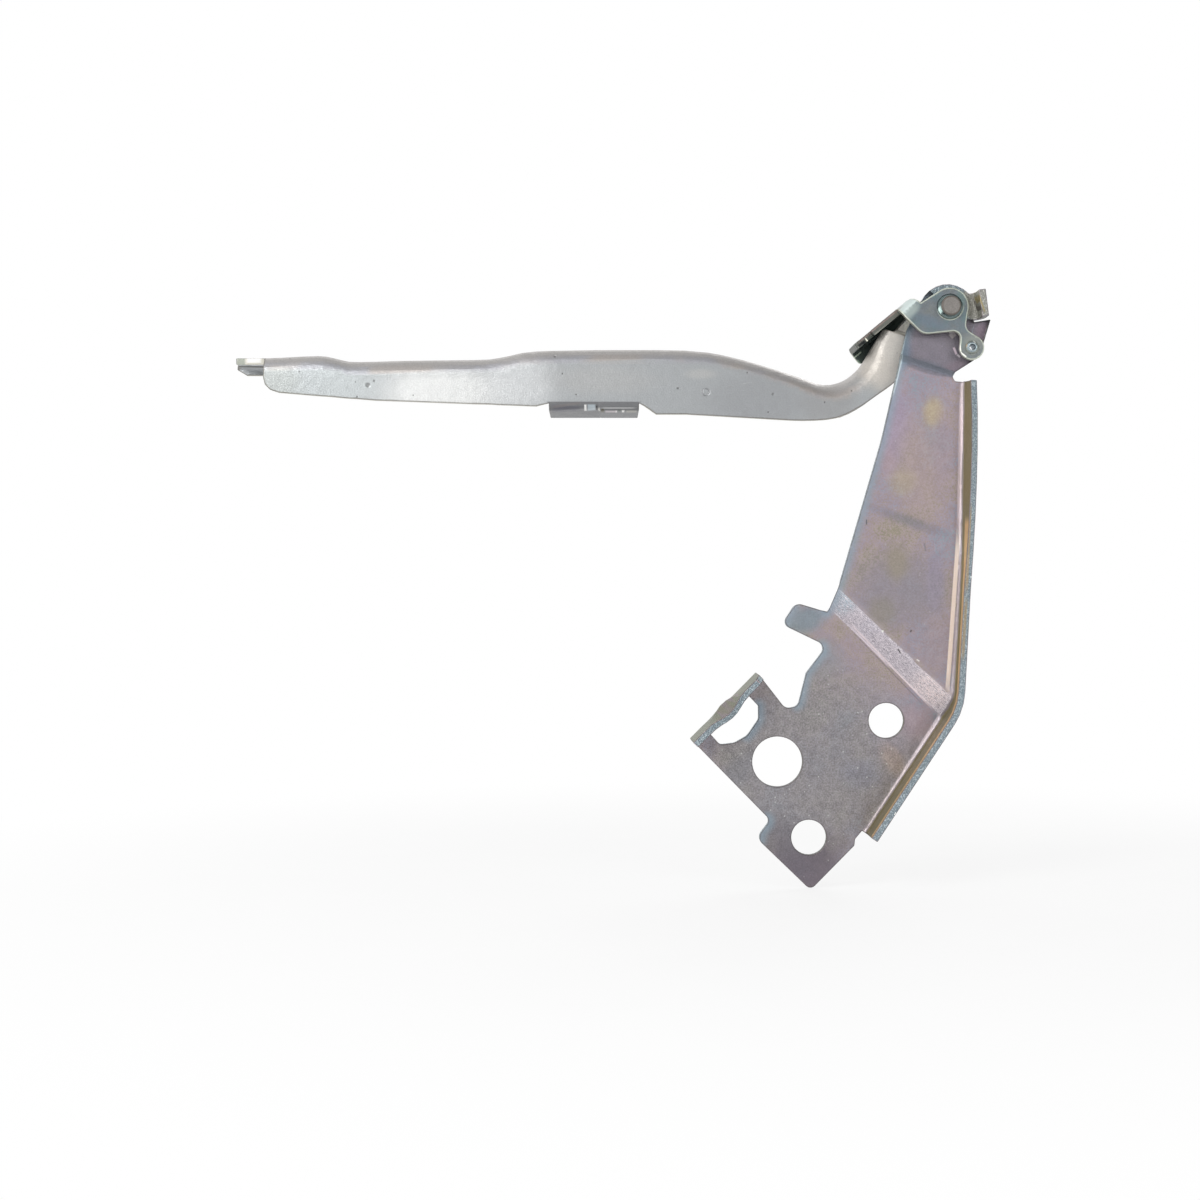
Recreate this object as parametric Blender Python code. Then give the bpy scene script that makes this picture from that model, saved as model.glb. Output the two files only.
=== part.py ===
# Bonnet hinge: a joggled body bracket, a gooseneck arm and a stop bracket round one pivot rivet.
#
# The hinge stands as it does on the car with the bonnet open. X runs from the arm's tip towards the
# bracket, Y points away from the viewer, Z is up. The origin is on the body face, the back of the
# bracket's lower plate, midway between the two body bolt holes. Sizes are in millimetres here and
# become metres when a mesh is made.
#
# Each pressing is drawn as one skin, its flat blanks, bends and walls welded edge to edge, and a
# Solidify modifier gives the skin its gauge.

import math

import bmesh
import bpy
from mathutils import Vector

MM = 0.001
WELD = 0.01
ARC_STEP = math.radians(15)
SHARP = math.radians(32)
WALL_STEP = 14.0
WAVE_STEP = 2.4

# Fits
CLEARANCE = 0.3
RUNNING_GAP = 0.15

# Body bracket
BODY_GAUGE = 2.4
BODY_BEND = 1.8
JOGGLE_DEPTH = 8.0
JOGGLE_ANGLE = math.radians(48)
JOGGLE_POINT = (-3.1, 68.8)
JOGGLE_HEADING = math.radians(-44)
FLANGE_RISE = 13.2
FLANGE_SWELL = 1.0
FLANGE_SWELL_AT = 114.0
FLANGE_SWELL_WIDTH = 42.0
FLANGE_FLARE = math.radians(6)
FLANGE_CORNER = 0.6
SIDE_RISE = 12.6
SIDE_LEAN = math.radians(5)
SIDE_BULGE = 1.5
SIDE_DIP = 1.4
SIDE_WAVE_AT = 0.5
SIDE_WAVE_WIDTH = 0.26
SIDE_CORNER = 2.6
SIDE_WINDOW = (0.19, 0.77)
PILOT_HOLE_RADIUS = 8.8
PILOT_HOLE = (-24.5, 5.9)
BOLT_HOLE_RADIUS = 6.15
BOLT_HOLES = [(-13.5, -20.6), (13.6, 20.3)]

# Outline of the body bracket: (x, z, corner radius)
FLANGE_PATH = [(37.9, 138.1, 0), (37.0, 76.4, 90), (34.3, 26.1, 19), (5.1, -18.3, 0)]
SIDE_PATH = [(-52.3, 11.2), (-29.3, 34.3)]
FOOT = [(2.6, -21.2, 1.2), (2.6, -23.6, 1.5), (-12.9, -39.1, 2.2), (-31.8, -20.9, 3.0),
        (-27.0, -14.6, 2.2), (-48.8, 7.6, 1.0)]
WINDOW = [(-44.6, 11.9, 1.6), (-39.5, 12.5, 3.0), (-35.1, 15.0, 4.0), (-31.2, 20.7, 2.0),
          (-31.0, 25.5, 1.6)]
BAY = [(-21.6, 24.4, 3.0), (-17.3, 25.4, 2.4), (-14.4, 37.0, 2.0)]
FINGER_TAB = [(-7.2, 46.4, 2.6), (-22.9, 54.0, 2.4), (-17.9, 61.7, 3.0), (-7.0, 57.6, 1.2)]
FREE_EDGE = [(-1.3, 76.4, 60), (10.8, 117.9, 60)]

# Pivot
PIVOT = (34.2, 163.8)
RIVET_RADIUS = 4.0
RIVET_TIP_RADIUS = 3.45
RIVET_COLLAR = 0.6
RIVET_STAND = 3.0
RIVET_TAIL_RADIUS = 6.2
RIVET_TAIL = 2.4
RIVET_EDGE = 0.4
BUSH_WALL = 1.4
WASHER_RADIUS = 8.2
FAR_WASHER = 0.8

# Head of the body bracket, measured from the pivot
HEAD_SET_BACK = 1.4
HEAD_POINT = (-15.3, -19.7)
HEAD_HEADING = math.radians(-17.9)
HEAD_STEP_ANGLE = math.radians(32)
HEAD_BEND = 0.4
HEAD_RADIUS = 9.8
HEAD_CENTRE = (-0.35, -1.6)
HEAD_ARC = (158, 42)
HEAD_TAB_RISE = 7.4
HEAD_TAB_PATH = [(7.2, 4.9), (8.4, -4.4)]
HEAD_SHOULDER = (-14.4, -7.7, 4)
HEAD_EAR = [(8.9, -5.1, 0.5), (15.0, -3.7, 0.5), (11.8, -13.3, 3.0), (9.3, -17.9, 3.0),
            (0.9, -23.2, 3.2), (1.9, -26.0, 1.0)]

# Arm, measured from the pivot
ARM_GAUGE = 2.2
ARM_GAP = 1.1
EYE_RADIUS = 8.4
EYE_STEP = 1.0
EYE_STEP_RUN = 1.6
EYE_ROLL = 4.2
NECK_DEPTH = 12.0
ARM_DEPTH = 26.0
ROLL = 5.5
NECK_ROLL = 7.6
LIP_ROLL = 3.6
LIP_HEIGHT = 5.8
LIP_GAP = 0.4
TONGUE_REACH = 10.1
TONGUE_SLANT = 3.4
TONGUE_CORNER = 3.4
TIP_LIFT = 1.9
TAB_BEND = 2.4
TAB_FLAT = 3.0
TAB_SHORT = 1.0
TAB_RAMP = 1.0
TAB_FALL = 0.3
TAB_FLOOR = -35.2
TAB_START = -138.6
TAB_END = -107.2
TAB_RELIEF = 2.0
TAB_FACET = 17.1
TAB_FACET_STEP = 1.0
BONNET_HOLE_RADIUS = 4.5
BONNET_SLOT = 5.0
BONNET_HOLES = [-228.0, -92.0]
HOLE_TOOL = 8.0

# Where the arm's section changes, as ranges along X from the pivot
TIP_RANGE = (-236.0, -200.0)
NECK_RANGE = (-88.0, -36.0)
ROLL_RANGE = (-60.0, -36.0)
WALL_RANGE = (-66.0, -36.0)
EYE_RANGE = (-30.0, -21.8)

# Stop bracket: its flange point from the pivot, the rest along and across the stop flange
STOP_GAUGE = 2.2
STOP_BEND = 1.5
STOP_FLANGE_POINT = (-17.0, 0.4)
STOP_HEADING = math.radians(39.5)
STOP_FLANGE_START = -20.2
EAR_BEND_START = -1.3
EAR_BEND_END = 6.0
EAR_BEND_SLANT = 2.2
EAR_RADIUS = 6.6
EAR_ARC = (128, -22)
LOBE_RADIUS = 4.3
LOBE_ARC = (52, -172)
FAR_EAR_RADIUS = 7.6
FAR_EAR_ARC = (-100, 105)
FAR_WEB_WIDTH = 6.8
FAR_WEB_CORNER = 2.0
FAR_WEB_BEND = (-6.0, 10.6, 12.0)
NOTCH_START = -17.8
NOTCH_LENGTH = 5.0
NOTCH_DEPTH = 3.2

# Near ear of the stop bracket, from the pivot: the hollow by the lobe and the lower edge
EAR_HOLLOW = (5.4, -7.8, 3.0)
EAR_EDGE = [(4.0, -8.2, 4.5), (-9.3, -9.6, 4.5)]

# Stop bracket rivet, measured from the pivot
LOBE = (7.6, -14.1)
SMALL_RIVET_RADIUS = 1.6
SMALL_RIVET_BORE = 1.0
SMALL_RIVET_HEAD_RADIUS = 2.3
SMALL_RIVET_HEAD = 0.8

# Depths along Y that follow from the sizes above
LOWER_FRONT = -BODY_GAUGE
UPPER_FRONT = LOWER_FRONT - JOGGLE_DEPTH
HEAD_FRONT = UPPER_FRONT + HEAD_SET_BACK
HEAD_BACK = HEAD_FRONT + BODY_GAUGE
EAR_BACK = HEAD_FRONT - CLEARANCE
EAR_FRONT = EAR_BACK - STOP_GAUGE
ARM_FRONT = HEAD_BACK + ARM_GAP
EYE_FRONT = ARM_FRONT + EYE_STEP
NECK_BACK = ARM_FRONT + NECK_DEPTH
TAB_DEPTH = ARM_DEPTH - TAB_SHORT
TAB_MIDDLE = TAB_START + TAB_FACET
FAR_EAR_FRONT = NECK_BACK + FAR_WASHER + 2 * RUNNING_GAP
FAR_EAR_BACK = FAR_EAR_FRONT + STOP_GAUGE
RIVET_HOLE = RIVET_RADIUS + CLEARANCE
SMALL_RIVET_HOLE = SMALL_RIVET_RADIUS + CLEARANCE
BUSH_BORE = RIVET_RADIUS + RUNNING_GAP
BUSH_RADIUS = BUSH_BORE + BUSH_WALL
EYE_HOLE = BUSH_RADIUS + CLEARANCE


def clear_scene():
    """Remove whatever the file holds, so the hinge starts alone."""
    for item in list(bpy.data.objects):
        bpy.data.objects.remove(item, do_unlink=True)


def finish(name, colour, metallic, roughness):
    """Make a plain metal finish."""
    material = bpy.data.materials.new(name)
    material.use_nodes = True
    shader = material.node_tree.nodes["Principled BSDF"]
    shader.inputs["Base Color"].default_value = (*colour, 1.0)
    shader.inputs["Metallic"].default_value = metallic
    shader.inputs["Roughness"].default_value = roughness
    return material


def heading(angle):
    """Unit vector in the XZ plane at an angle from +X."""
    return Vector((math.cos(angle), math.sin(angle)))


def arc(centre, radius, start, end):
    """Points round a circle in the XZ plane, both ends included, angles in degrees."""
    turn = math.radians(end - start)
    steps = max(2, math.ceil(abs(turn) / ARC_STEP))
    return [Vector(centre) + radius * heading(math.radians(start) + turn * i / steps)
            for i in range(steps + 1)]


def circle(centre, radius, steps=36):
    """Points round a full circle in the XZ plane."""
    return [Vector(centre) + radius * heading(math.tau * i / steps) for i in range(steps)]


def fillet(before, corner, after, radius):
    """Round one corner of an outline."""
    back = (before - corner).normalized()
    ahead = (after - corner).normalized()
    half = back.angle(ahead) / 2
    if radius <= 0 or half > math.radians(89):
        return [corner]
    reach = min(radius / math.tan(half), 0.48 * (before - corner).length, 0.48 * (after - corner).length)
    radius = reach * math.tan(half)
    centre = corner + (back + ahead).normalized() * (radius / math.sin(half))
    start = corner + back * reach - centre
    end = corner + ahead * reach - centre
    turn = start.angle_signed(end)
    steps = max(1, math.ceil(abs(turn) / ARC_STEP))
    first = math.atan2(start.y, start.x)
    return [centre + radius * heading(first - turn * i / steps) for i in range(steps + 1)]


def rounded(corners, closed=True):
    """Outline through (x, z, radius) corners."""
    spots = [Vector(corner[:2]) for corner in corners]
    outline = []
    for i, corner in enumerate(corners):
        inner = closed or 0 < i < len(corners) - 1
        if inner:
            outline += fillet(spots[i - 1], spots[i], spots[(i + 1) % len(spots)], corner[2])
        else:
            outline.append(spots[i])
    return outline


def subdivide(points, longest):
    """Split the long steps of a path, so that a wall on it can bend."""
    path = [points[0]]
    for start, end in zip(points, points[1:]):
        pieces = max(1, math.ceil((end - start).length / longest))
        path += [start.lerp(end, i / pieces) for i in range(1, pieces + 1)]
    return path


def add_loop(bm, points, level):
    """Add a closed loop of edges at one depth."""
    verts = [bm.verts.new((p[0], level, p[1])) for p in points]
    return [bm.edges.new((verts[i - 1], verts[i])) for i in range(len(verts))]


def add_blank(bm, outline, holes, level=0.0):
    """Fill a flat blank with holes, facing the viewer."""
    edges = add_loop(bm, outline, level)
    for hole in holes:
        edges += add_loop(bm, hole, level)
    bmesh.ops.triangle_fill(bm, use_beauty=True, edges=edges, normal=(0, -1, 0))


def add_grid(bm, rows, skip=None):
    """Join rows of 3D points with quads, leaving out the ones that skip names."""
    verts = [[bm.verts.new(p) for p in row] for row in rows]
    for i in range(len(rows) - 1):
        for j in range(len(rows[0]) - 1):
            if skip and skip(i, j):
                continue
            bm.faces.new((verts[i][j], verts[i][j + 1], verts[i + 1][j + 1], verts[i + 1][j]))


def weld(bm):
    """Merge the shared edges of a skin and drop loose points."""
    bmesh.ops.remove_doubles(bm, verts=bm.verts, dist=WELD)
    loose = [v for v in bm.verts if not v.link_faces]
    bmesh.ops.delete(bm, geom=loose, context="VERTS")


def face_viewer(bm, spot):
    """Turn a skin so that its face nearest a spot has its normal towards -Y."""
    bmesh.ops.recalc_face_normals(bm, faces=bm.faces)
    flat = [f for f in bm.faces if abs(f.normal.y) > 0.9]
    nearest = min(flat, key=lambda f: (f.calc_center_median() - Vector(spot)).length)
    if nearest.normal.y > 0:
        bmesh.ops.reverse_faces(bm, faces=bm.faces)


def make_object(name, bm, material, at=(0.0, 0.0), parent=None):
    """Turn a bmesh in millimetres into a named object in metres, its rims and corners sharp."""
    bmesh.ops.scale(bm, vec=(MM, MM, MM), verts=bm.verts)
    for face in bm.faces:
        face.smooth = True
    for edge in bm.edges:
        edge.smooth = edge.is_manifold and edge.calc_face_angle() < SHARP
    mesh = bpy.data.meshes.new(name)
    bm.to_mesh(mesh)
    bm.free()
    mesh.materials.append(material)
    item = bpy.data.objects.new(name, mesh)
    bpy.context.collection.objects.link(item)
    if parent:
        item.parent = parent
    else:
        item.location = (at[0] * MM, 0.0, at[1] * MM)
    return item


def give_gauge(item, gauge):
    """Thicken a skin away from the side it faces."""
    solidify = item.modifiers.new("gauge", "SOLIDIFY")
    solidify.thickness = gauge * MM
    solidify.offset = -1.0
    solidify.use_even_offset = True
    solidify.use_quality_normals = True


def cut(item, tool):
    """Cut one solid with another, which stays as a guide."""
    tool.hide_render = True
    tool.display_type = "WIRE"
    tool.parent = item.parent
    boolean = item.modifiers.new(tool.name, "BOOLEAN")
    boolean.operation = "DIFFERENCE"
    boolean.solver = "EXACT"
    boolean.object = tool


def bend_profile(radius, angle, steps=4):
    """(across, rise) points of a bend from flat to an angle."""
    return [(radius * math.sin(angle * i / steps), radius * (1 - math.cos(angle * i / steps)))
            for i in range(steps + 1)]


def step_profile(depth, angle, convex, concave, steps=3):
    """(across, drop) points of a sheet that steps down by depth through two bends."""
    first = bend_profile(convex, angle, steps)
    second = bend_profile(concave, angle, steps)
    straight = (depth - first[-1][1] - second[-1][1]) / math.sin(angle)
    across = first[-1][0] + straight * math.cos(angle)
    run = across + second[-1][0]
    return first + [(run - a, depth - b) for a, b in reversed(second)]


def profile_value(profile, across):
    """Read the drop of a step profile at one place."""
    if across <= 0:
        return 0.0
    for (a0, d0), (a1, d1) in zip(profile, profile[1:]):
        if across <= a1:
            return d0 + (d1 - d0) * (across - a0) / max(a1 - a0, 1e-9)
    return profile[-1][1]


def split_along(bm, point, across, distances):
    """Cut a skin along parallel bend lines."""
    normal = Vector((across.x, 0.0, across.y))
    for distance in distances:
        spot = Vector((point[0], 0.0, point[1])) + normal * distance
        geometry = bm.verts[:] + bm.edges[:] + bm.faces[:]
        bmesh.ops.bisect_plane(bm, geom=geometry, dist=WELD / 10, plane_co=spot, plane_no=normal)


def left_of(direction):
    """The direction a quarter turn to the left in the XZ plane."""
    return Vector((-direction.y, direction.x))


def path_normals(path):
    """Unit normals along a path, on its left."""
    normals = []
    for i, spot in enumerate(path):
        before = spot - path[max(i - 1, 0)]
        after = path[min(i + 1, len(path) - 1)] - spot
        along = before.normalized() + after.normalized()
        normals.append(left_of(along.normalized()))
    return normals


def add_wall(bm, path, rises, leans, wave=None, opening=None):
    """Bend a wall up towards the viewer on the left of a path.

    Each station has its height over the plate and its lean back over the bend. The wave pushes the
    wall's middle out and its free edge in, and the opening names the stations between which the bend
    itself is cut away.
    """
    follow = bm.verts.layers.float["follow"]
    verts = []
    for i, (spot, normal) in enumerate(zip(path, path_normals(path))):
        swell = wave[i] if wave else 0.0
        profile = bend_profile(BODY_BEND, math.pi / 2 + leans[i])
        across, start = profile[-1]
        height = rises[i] - start
        middle = across - math.tan(leans[i]) * height / 2 + SIDE_BULGE * swell
        top = across - math.tan(leans[i]) * height - SIDE_DIP * swell
        row = [(out, rise, 1.0) for out, rise in profile]
        row += [(middle, start + height / 2, 0.5), (top, rises[i], 0.0)]
        line = []
        for out, rise, share in row:
            vert = bm.verts.new(place(spot + normal * out, -rise))
            vert[follow] = share
            line.append(vert)
        verts.append(line)
    for i in range(len(verts) - 1):
        cut_away = opening and opening[0] <= i < opening[1]
        for j in range(len(profile) - 1 if cut_away else 0, len(row) - 1):
            bm.faces.new((verts[i][j], verts[i][j + 1], verts[i + 1][j + 1], verts[i + 1][j]))


def flange_swell(height):
    """Share of the right flange's swell at a height, beside the upper plate."""
    share = (height - FLANGE_SWELL_AT) / FLANGE_SWELL_WIDTH
    return max(0.0, 1 - share * share)


def side_wave(share):
    """Share of the pressed wave at a place along the side flange."""
    inside = max(0.0, 1 - abs(share - SIDE_WAVE_AT) / SIDE_WAVE_WIDTH)
    return math.sin(inside * math.pi / 2) ** 2


def from_pivot(corner):
    """A corner given from the pivot, in the hinge's own frame, with its radius kept."""
    return (PIVOT[0] + corner[0], PIVOT[1] + corner[1], *corner[2:])


def build_body_bracket(material):
    """The bracket that bolts to the body: lower plate, joggle, upper plate and head in one pressing."""
    bm = bmesh.new()
    follow = bm.verts.layers.float.new("follow")

    flange_path = subdivide(rounded(FLANGE_PATH, closed=False), WALL_STEP)
    side_start, side_end = [Vector(spot) for spot in SIDE_PATH]
    window_ends = [side_start.lerp(side_end, share) for share in SIDE_WINDOW]
    window_path = subdivide(window_ends, WAVE_STEP)
    side_path = [side_start] + window_path + subdivide([window_ends[1], side_end], WAVE_STEP)[1:]
    tab_path = [Vector(from_pivot(spot)) for spot in HEAD_TAB_PATH]
    head = arc(from_pivot(HEAD_CENTRE), HEAD_RADIUS, *HEAD_ARC)
    ear = [from_pivot(corner) for corner in HEAD_EAR]
    shoulder = from_pivot(HEAD_SHOULDER)

    outline = list(flange_path)
    outline += rounded([(*flange_path[-1], 0)] + FOOT + [(*side_start, 0)], closed=False)[1:]
    outline += rounded([(*window_ends[0], 0)] + WINDOW + [(*window_ends[1], 0)], closed=False)
    outline += side_path[len(window_path) + 1:]
    left = [(*side_end, 0)] + BAY + FINGER_TAB + FREE_EDGE + [shoulder, (*head[0], 0)]
    outline += rounded(left, closed=False)[1:]
    outline += head[1:] + tab_path
    outline += rounded([(*tab_path[1], 0)] + ear + [(*flange_path[0], 0)], closed=False)[1:-1]

    holes = [circle(PILOT_HOLE, PILOT_HOLE_RADIUS, 48)]
    holes += [circle(spot, BOLT_HOLE_RADIUS) for spot in BOLT_HOLES]
    holes += [circle(PIVOT, RIVET_HOLE), circle(from_pivot(LOBE), SMALL_RIVET_HOLE, 24)]
    add_blank(bm, outline, holes)
    for vert in bm.verts:
        vert[follow] = 1.0

    swells = [flange_swell(spot.y) for spot in flange_path]
    rises = [FLANGE_RISE + FLANGE_SWELL * swell for swell in swells]
    rises[0] -= FLANGE_CORNER
    add_wall(bm, flange_path, rises, [-FLANGE_FLARE * swell for swell in swells])
    length = (side_end - side_start).length
    wave = [side_wave((spot - side_start).length / length) for spot in side_path]
    rises = [SIDE_RISE] * len(side_path)
    rises[-1] -= SIDE_CORNER
    add_wall(bm, side_path, rises, [SIDE_LEAN] * len(side_path), wave, (1, len(window_path)))
    add_wall(bm, tab_path, [HEAD_TAB_RISE + LOWER_FRONT - HEAD_FRONT] * 2, [0.0] * 2)
    weld(bm)

    joggle_across = -left_of(heading(JOGGLE_HEADING))
    joggle = step_profile(JOGGLE_DEPTH, JOGGLE_ANGLE, BODY_BEND + BODY_GAUGE, BODY_BEND)
    head_point = Vector(from_pivot(HEAD_POINT))
    head_across = left_of(heading(HEAD_HEADING))
    head_step = step_profile(HEAD_SET_BACK, HEAD_STEP_ANGLE, HEAD_BEND + BODY_GAUGE, HEAD_BEND)
    split_along(bm, JOGGLE_POINT, joggle_across, [across for across, drop in joggle])
    split_along(bm, head_point, head_across, [across for across, drop in head_step])
    for vert in bm.verts:
        spot = Vector((vert.co.x, vert.co.z))
        down = profile_value(joggle, (spot - Vector(JOGGLE_POINT)).dot(joggle_across))
        back = profile_value(head_step, (spot - head_point).dot(head_across))
        vert.co.y += LOWER_FRONT + (down - JOGGLE_DEPTH + back) * vert[follow]
    face_viewer(bm, (0.0, LOWER_FRONT, 0.0))
    item = make_object("body_bracket", bm, material)
    give_gauge(item, BODY_GAUGE)
    return item


def catmull(points, share):
    """Point on the smooth curve between the middle two of four."""
    p0, p1, p2, p3 = points
    square = share * share
    cube = square * share
    return 0.5 * ((2 * p1) + (p2 - p0) * share + (2 * p0 - 5 * p1 + 4 * p2 - p3) * square
                  + (3 * p1 - p0 - 3 * p2 + p3) * cube)


# Straight stations of the arm from its tip: place along the arm, top edge, bottom edge, from the pivot.
STRAIGHT = [
    (-238.2, -16.4, -24.0), (-237.6, -16.4, -26.2), (-235.8, -16.3, -28.0), (-232.8, -16.2, -29.0),
    (-225.5, -15.8, -29.6), (-219.8, -15.6, -30.1), (-216.9, -15.8, -30.3), (-214.1, -16.4, -30.5),
    (-211.3, -17.1, -30.8), (-208.9, -17.6, -31.0), (-205.5, -17.7, -31.2), (-199.7, -17.6, -31.7),
    (-190.0, -17.3, -32.0), (-176.0, -17.2, -32.5), (-164.5, -17.0, -33.0), (-159.6, -16.8, -33.1),
    (-156.2, -16.3, -33.3), (-153.2, -15.7, -33.4), (-148.0, -14.5, -33.6)]
PAD = [-143.2, -131.0, -101.2, -90.8]
PAD_TOP = [(-143.2, -14.0), (-138.6, -13.8), (-131.0, -13.7), (-121.5, -13.5), (-101.2, -13.5),
           (-90.8, -13.7)]
PAD_BOTTOM = (-33.8, -36.6)
# Stations of the neck: top edge, then bottom edge, from the pivot.
NECK = [
    (-83.0, -14.4, -83.0, -37.1), (-74.3, -16.1, -74.3, -37.6), (-62.8, -19.3, -62.8, -38.2),
    (-51.1, -23.0, -50.0, -38.8), (-42.2, -25.6, -38.6, -37.9), (-35.6, -24.3, -30.0, -33.9),
    (-31.0, -21.0, -23.4, -29.3), (-28.4, -17.8, -17.6, -25.0), (-25.2, -12.4, -12.6, -18.6),
    (-21.8, -6.6, -9.9, -10.8)]


def blend(span, value):
    """Smooth share from 0 at the start of a range to 1 at its end."""
    share = min(max((value - span[0]) / (span[1] - span[0]), 0.0), 1.0)
    return share * share * (3 - 2 * share)


def line_height(line, along):
    """Height of a line of (along, height) points at one place."""
    for (a0, h0), (a1, h1) in zip(line, line[1:]):
        if along <= a1:
            return h0 + (h1 - h0) * (along - a0) / (a1 - a0)
    return line[-1][1]


def arm_station(top, bottom):
    """Give a station its depth, roll and lip from its place along the arm."""
    height = (bottom - top).length
    neck = blend(NECK_RANGE, top.x)
    depth = ARM_DEPTH + (NECK_DEPTH - ARM_DEPTH) * neck
    roll = ROLL + (NECK_ROLL - ROLL) * blend(ROLL_RANGE, top.x) - EYE_ROLL * blend(EYE_RANGE, top.x)
    far_roll = LIP_ROLL + (min(NECK_DEPTH - NECK_ROLL - LIP_GAP, LIP_ROLL) - LIP_ROLL) * neck
    lip = LIP_HEIGHT + (height - LIP_HEIGHT) * blend(WALL_RANGE, top.x)
    lift = TIP_LIFT * (1 - blend(TIP_RANGE, top.x))
    return top, bottom, depth, roll, far_roll, lip, lift


def arm_section(station, tab_share):
    """Outer skin of one section: web, roll, flange, far roll and lip, as (place, depth) points."""
    top, bottom, depth, roll, far_roll, lip, lift = station
    down = (bottom - top).normalized()
    height = (bottom - top).length
    flat = height - (TAB_BEND if tab_share is not None else 0.0)
    points = [(flat, 0.0), ((flat + roll) / 2, 0.0)]
    steps = 5
    for i in range(steps + 1):
        turn = math.pi / 2 * i / steps
        points.append((roll * (1 - math.sin(turn)), roll * (1 - math.cos(turn))))
    points.append((0.0, (roll + depth - far_roll) / 2))
    for i in range(steps + 1):
        turn = math.pi / 2 * i / steps
        points.append((far_roll * (1 - math.cos(turn)), depth - far_roll * (1 - math.sin(turn))))
    points.append((lip, depth))
    raised = []
    for across, back in points:
        rise = lift * max(0.0, back - roll) / (depth - roll)
        raised.append(place(top + down * (across - rise), ARM_FRONT + back))
    return raised


def place(spot, depth):
    """A 3D point from a place in the XZ plane and a depth."""
    return Vector((spot[0], depth, spot[1]))


def tab_section(station, share):
    """The bottom tab under one station: its bend and the floor that falls towards the back."""
    bottom = station[1]
    points = []
    steps = 3
    for i in range(steps + 1):
        turn = math.pi / 2 * i / steps
        points.append((TAB_BEND * (1 - math.sin(turn)), TAB_BEND * (1 - math.cos(turn))))
    fall = TAB_FALL + share
    points.append((-fall * TAB_FLAT / TAB_DEPTH, TAB_BEND + TAB_FLAT))
    points.append((-fall, TAB_DEPTH))
    return [place(bottom + Vector((0.0, up)), ARM_FRONT + back) for up, back in points]


def arm_stations():
    """All the stations from the tip to the end of the neck, with the tab's share where it has one."""
    top_line = [(along, top) for along, top, bottom in STRAIGHT] + PAD_TOP
    bottom_line = [(along, bottom) for along, top, bottom in STRAIGHT] + [(PAD[0], PAD_BOTTOM[0])]
    relief = TAB_END + TAB_RELIEF
    tab_spots = [TAB_START, TAB_END, relief, TAB_MIDDLE, TAB_MIDDLE + TAB_FACET_STEP]
    rows = []
    for spot in sorted(set([s[0] for s in STRAIGHT] + PAD + tab_spots)):
        bottom = line_height(bottom_line, spot)
        bottom += (PAD_BOTTOM[1] - PAD_BOTTOM[0]) * blend((relief, PAD[2]), spot)
        tab = None
        if TAB_START <= spot <= TAB_END:
            ramp = (spot - TAB_START) / (TAB_MIDDLE - TAB_START)
            tab = TAB_RAMP * ramp if ramp <= 1 else 0.0
            bottom = TAB_FLOOR + tab
        rows.append((Vector((spot, line_height(top_line, spot))), Vector((spot, bottom)), tab))
    ends = [Vector(s) for s in NECK]
    chain = [Vector((*rows[-1][0], *rows[-1][1]))] + ends
    chain.append(chain[-1] * 2 - chain[-2])
    for i in range(1, len(chain) - 2):
        for j in range(3):
            mixed = catmull(chain[i - 1:i + 3], j / 3)
            rows.append((Vector(mixed[:2]), Vector(mixed[2:]), None))
    rows.append((Vector(ends[-1][:2]), Vector(ends[-1][2:]), None))
    return rows


def tangent_angle(spot, radius, side):
    """Angle at which a line from a spot touches the circle round the pivot, in degrees."""
    turn = math.acos(radius / spot.length) * side
    return math.degrees(math.atan2(spot.y, spot.x) + turn)


def add_eye(bm, edge, level):
    """A flat round eye about the pivot, reaching back to the neck's edge from its lower to upper end."""
    first = tangent_angle(edge[-1], EYE_RADIUS, -1)
    last = tangent_angle(edge[0], EYE_RADIUS, 1)
    if last > first:
        last -= 360
    add_blank(bm, arc((0, 0), EYE_RADIUS, first, last) + edge, [circle((0, 0), EYE_HOLE)], level)


def build_arm(material, pivot):
    """The gooseneck arm: a channel that narrows into two walls, each with an eye on the pivot."""
    bm = bmesh.new()
    stations = [(arm_station(top, bottom), tab) for top, bottom, tab in arm_stations()]
    rows = [arm_section(station, tab) for station, tab in stations]
    add_grid(bm, rows)
    tab_rows = [tab_section(station, tab) for station, tab in stations if tab is not None]
    add_grid(bm, tab_rows)

    first = rows[0]
    flange = first[6:]
    tongue = []
    for i, spot in enumerate(flange):
        back = (spot.y - flange[0].y) / (flange[-1].y - flange[0].y)
        reach = TONGUE_REACH + TONGUE_SLANT * back
        if i == len(flange) - 1:
            reach -= TONGUE_CORNER
        tongue.append(spot - Vector((reach, 0.0, 0.0)))
    add_grid(bm, [tongue, flange])

    near_edge = [Vector((spot.x, spot.z)) for spot in rows[-1][:3]]
    ahead = -near_edge[-1].normalized() * EYE_STEP_RUN
    stepped = [spot + ahead for spot in near_edge]
    levels = ((near_edge, ARM_FRONT), (stepped, EYE_FRONT))
    add_grid(bm, [[place(spot, level) for spot in edge] for edge, level in levels])
    add_eye(bm, stepped, EYE_FRONT)
    add_eye(bm, [Vector((spot.x, spot.z)) for spot in rows[-1][:-3:-1]], NECK_BACK)
    weld(bm)
    face_viewer(bm, place((PAD[2], PAD_BOTTOM[0]), ARM_FRONT))
    arm = make_object("bonnet_arm", bm, material, parent=pivot)
    give_gauge(arm, ARM_GAUGE)

    for number, spot in enumerate(BONNET_HOLES):
        tool = slot_tool("bonnet_hole_tool_%d" % number, spot, BONNET_SLOT * number, material)
        cut(arm, tool)
    return arm


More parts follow.
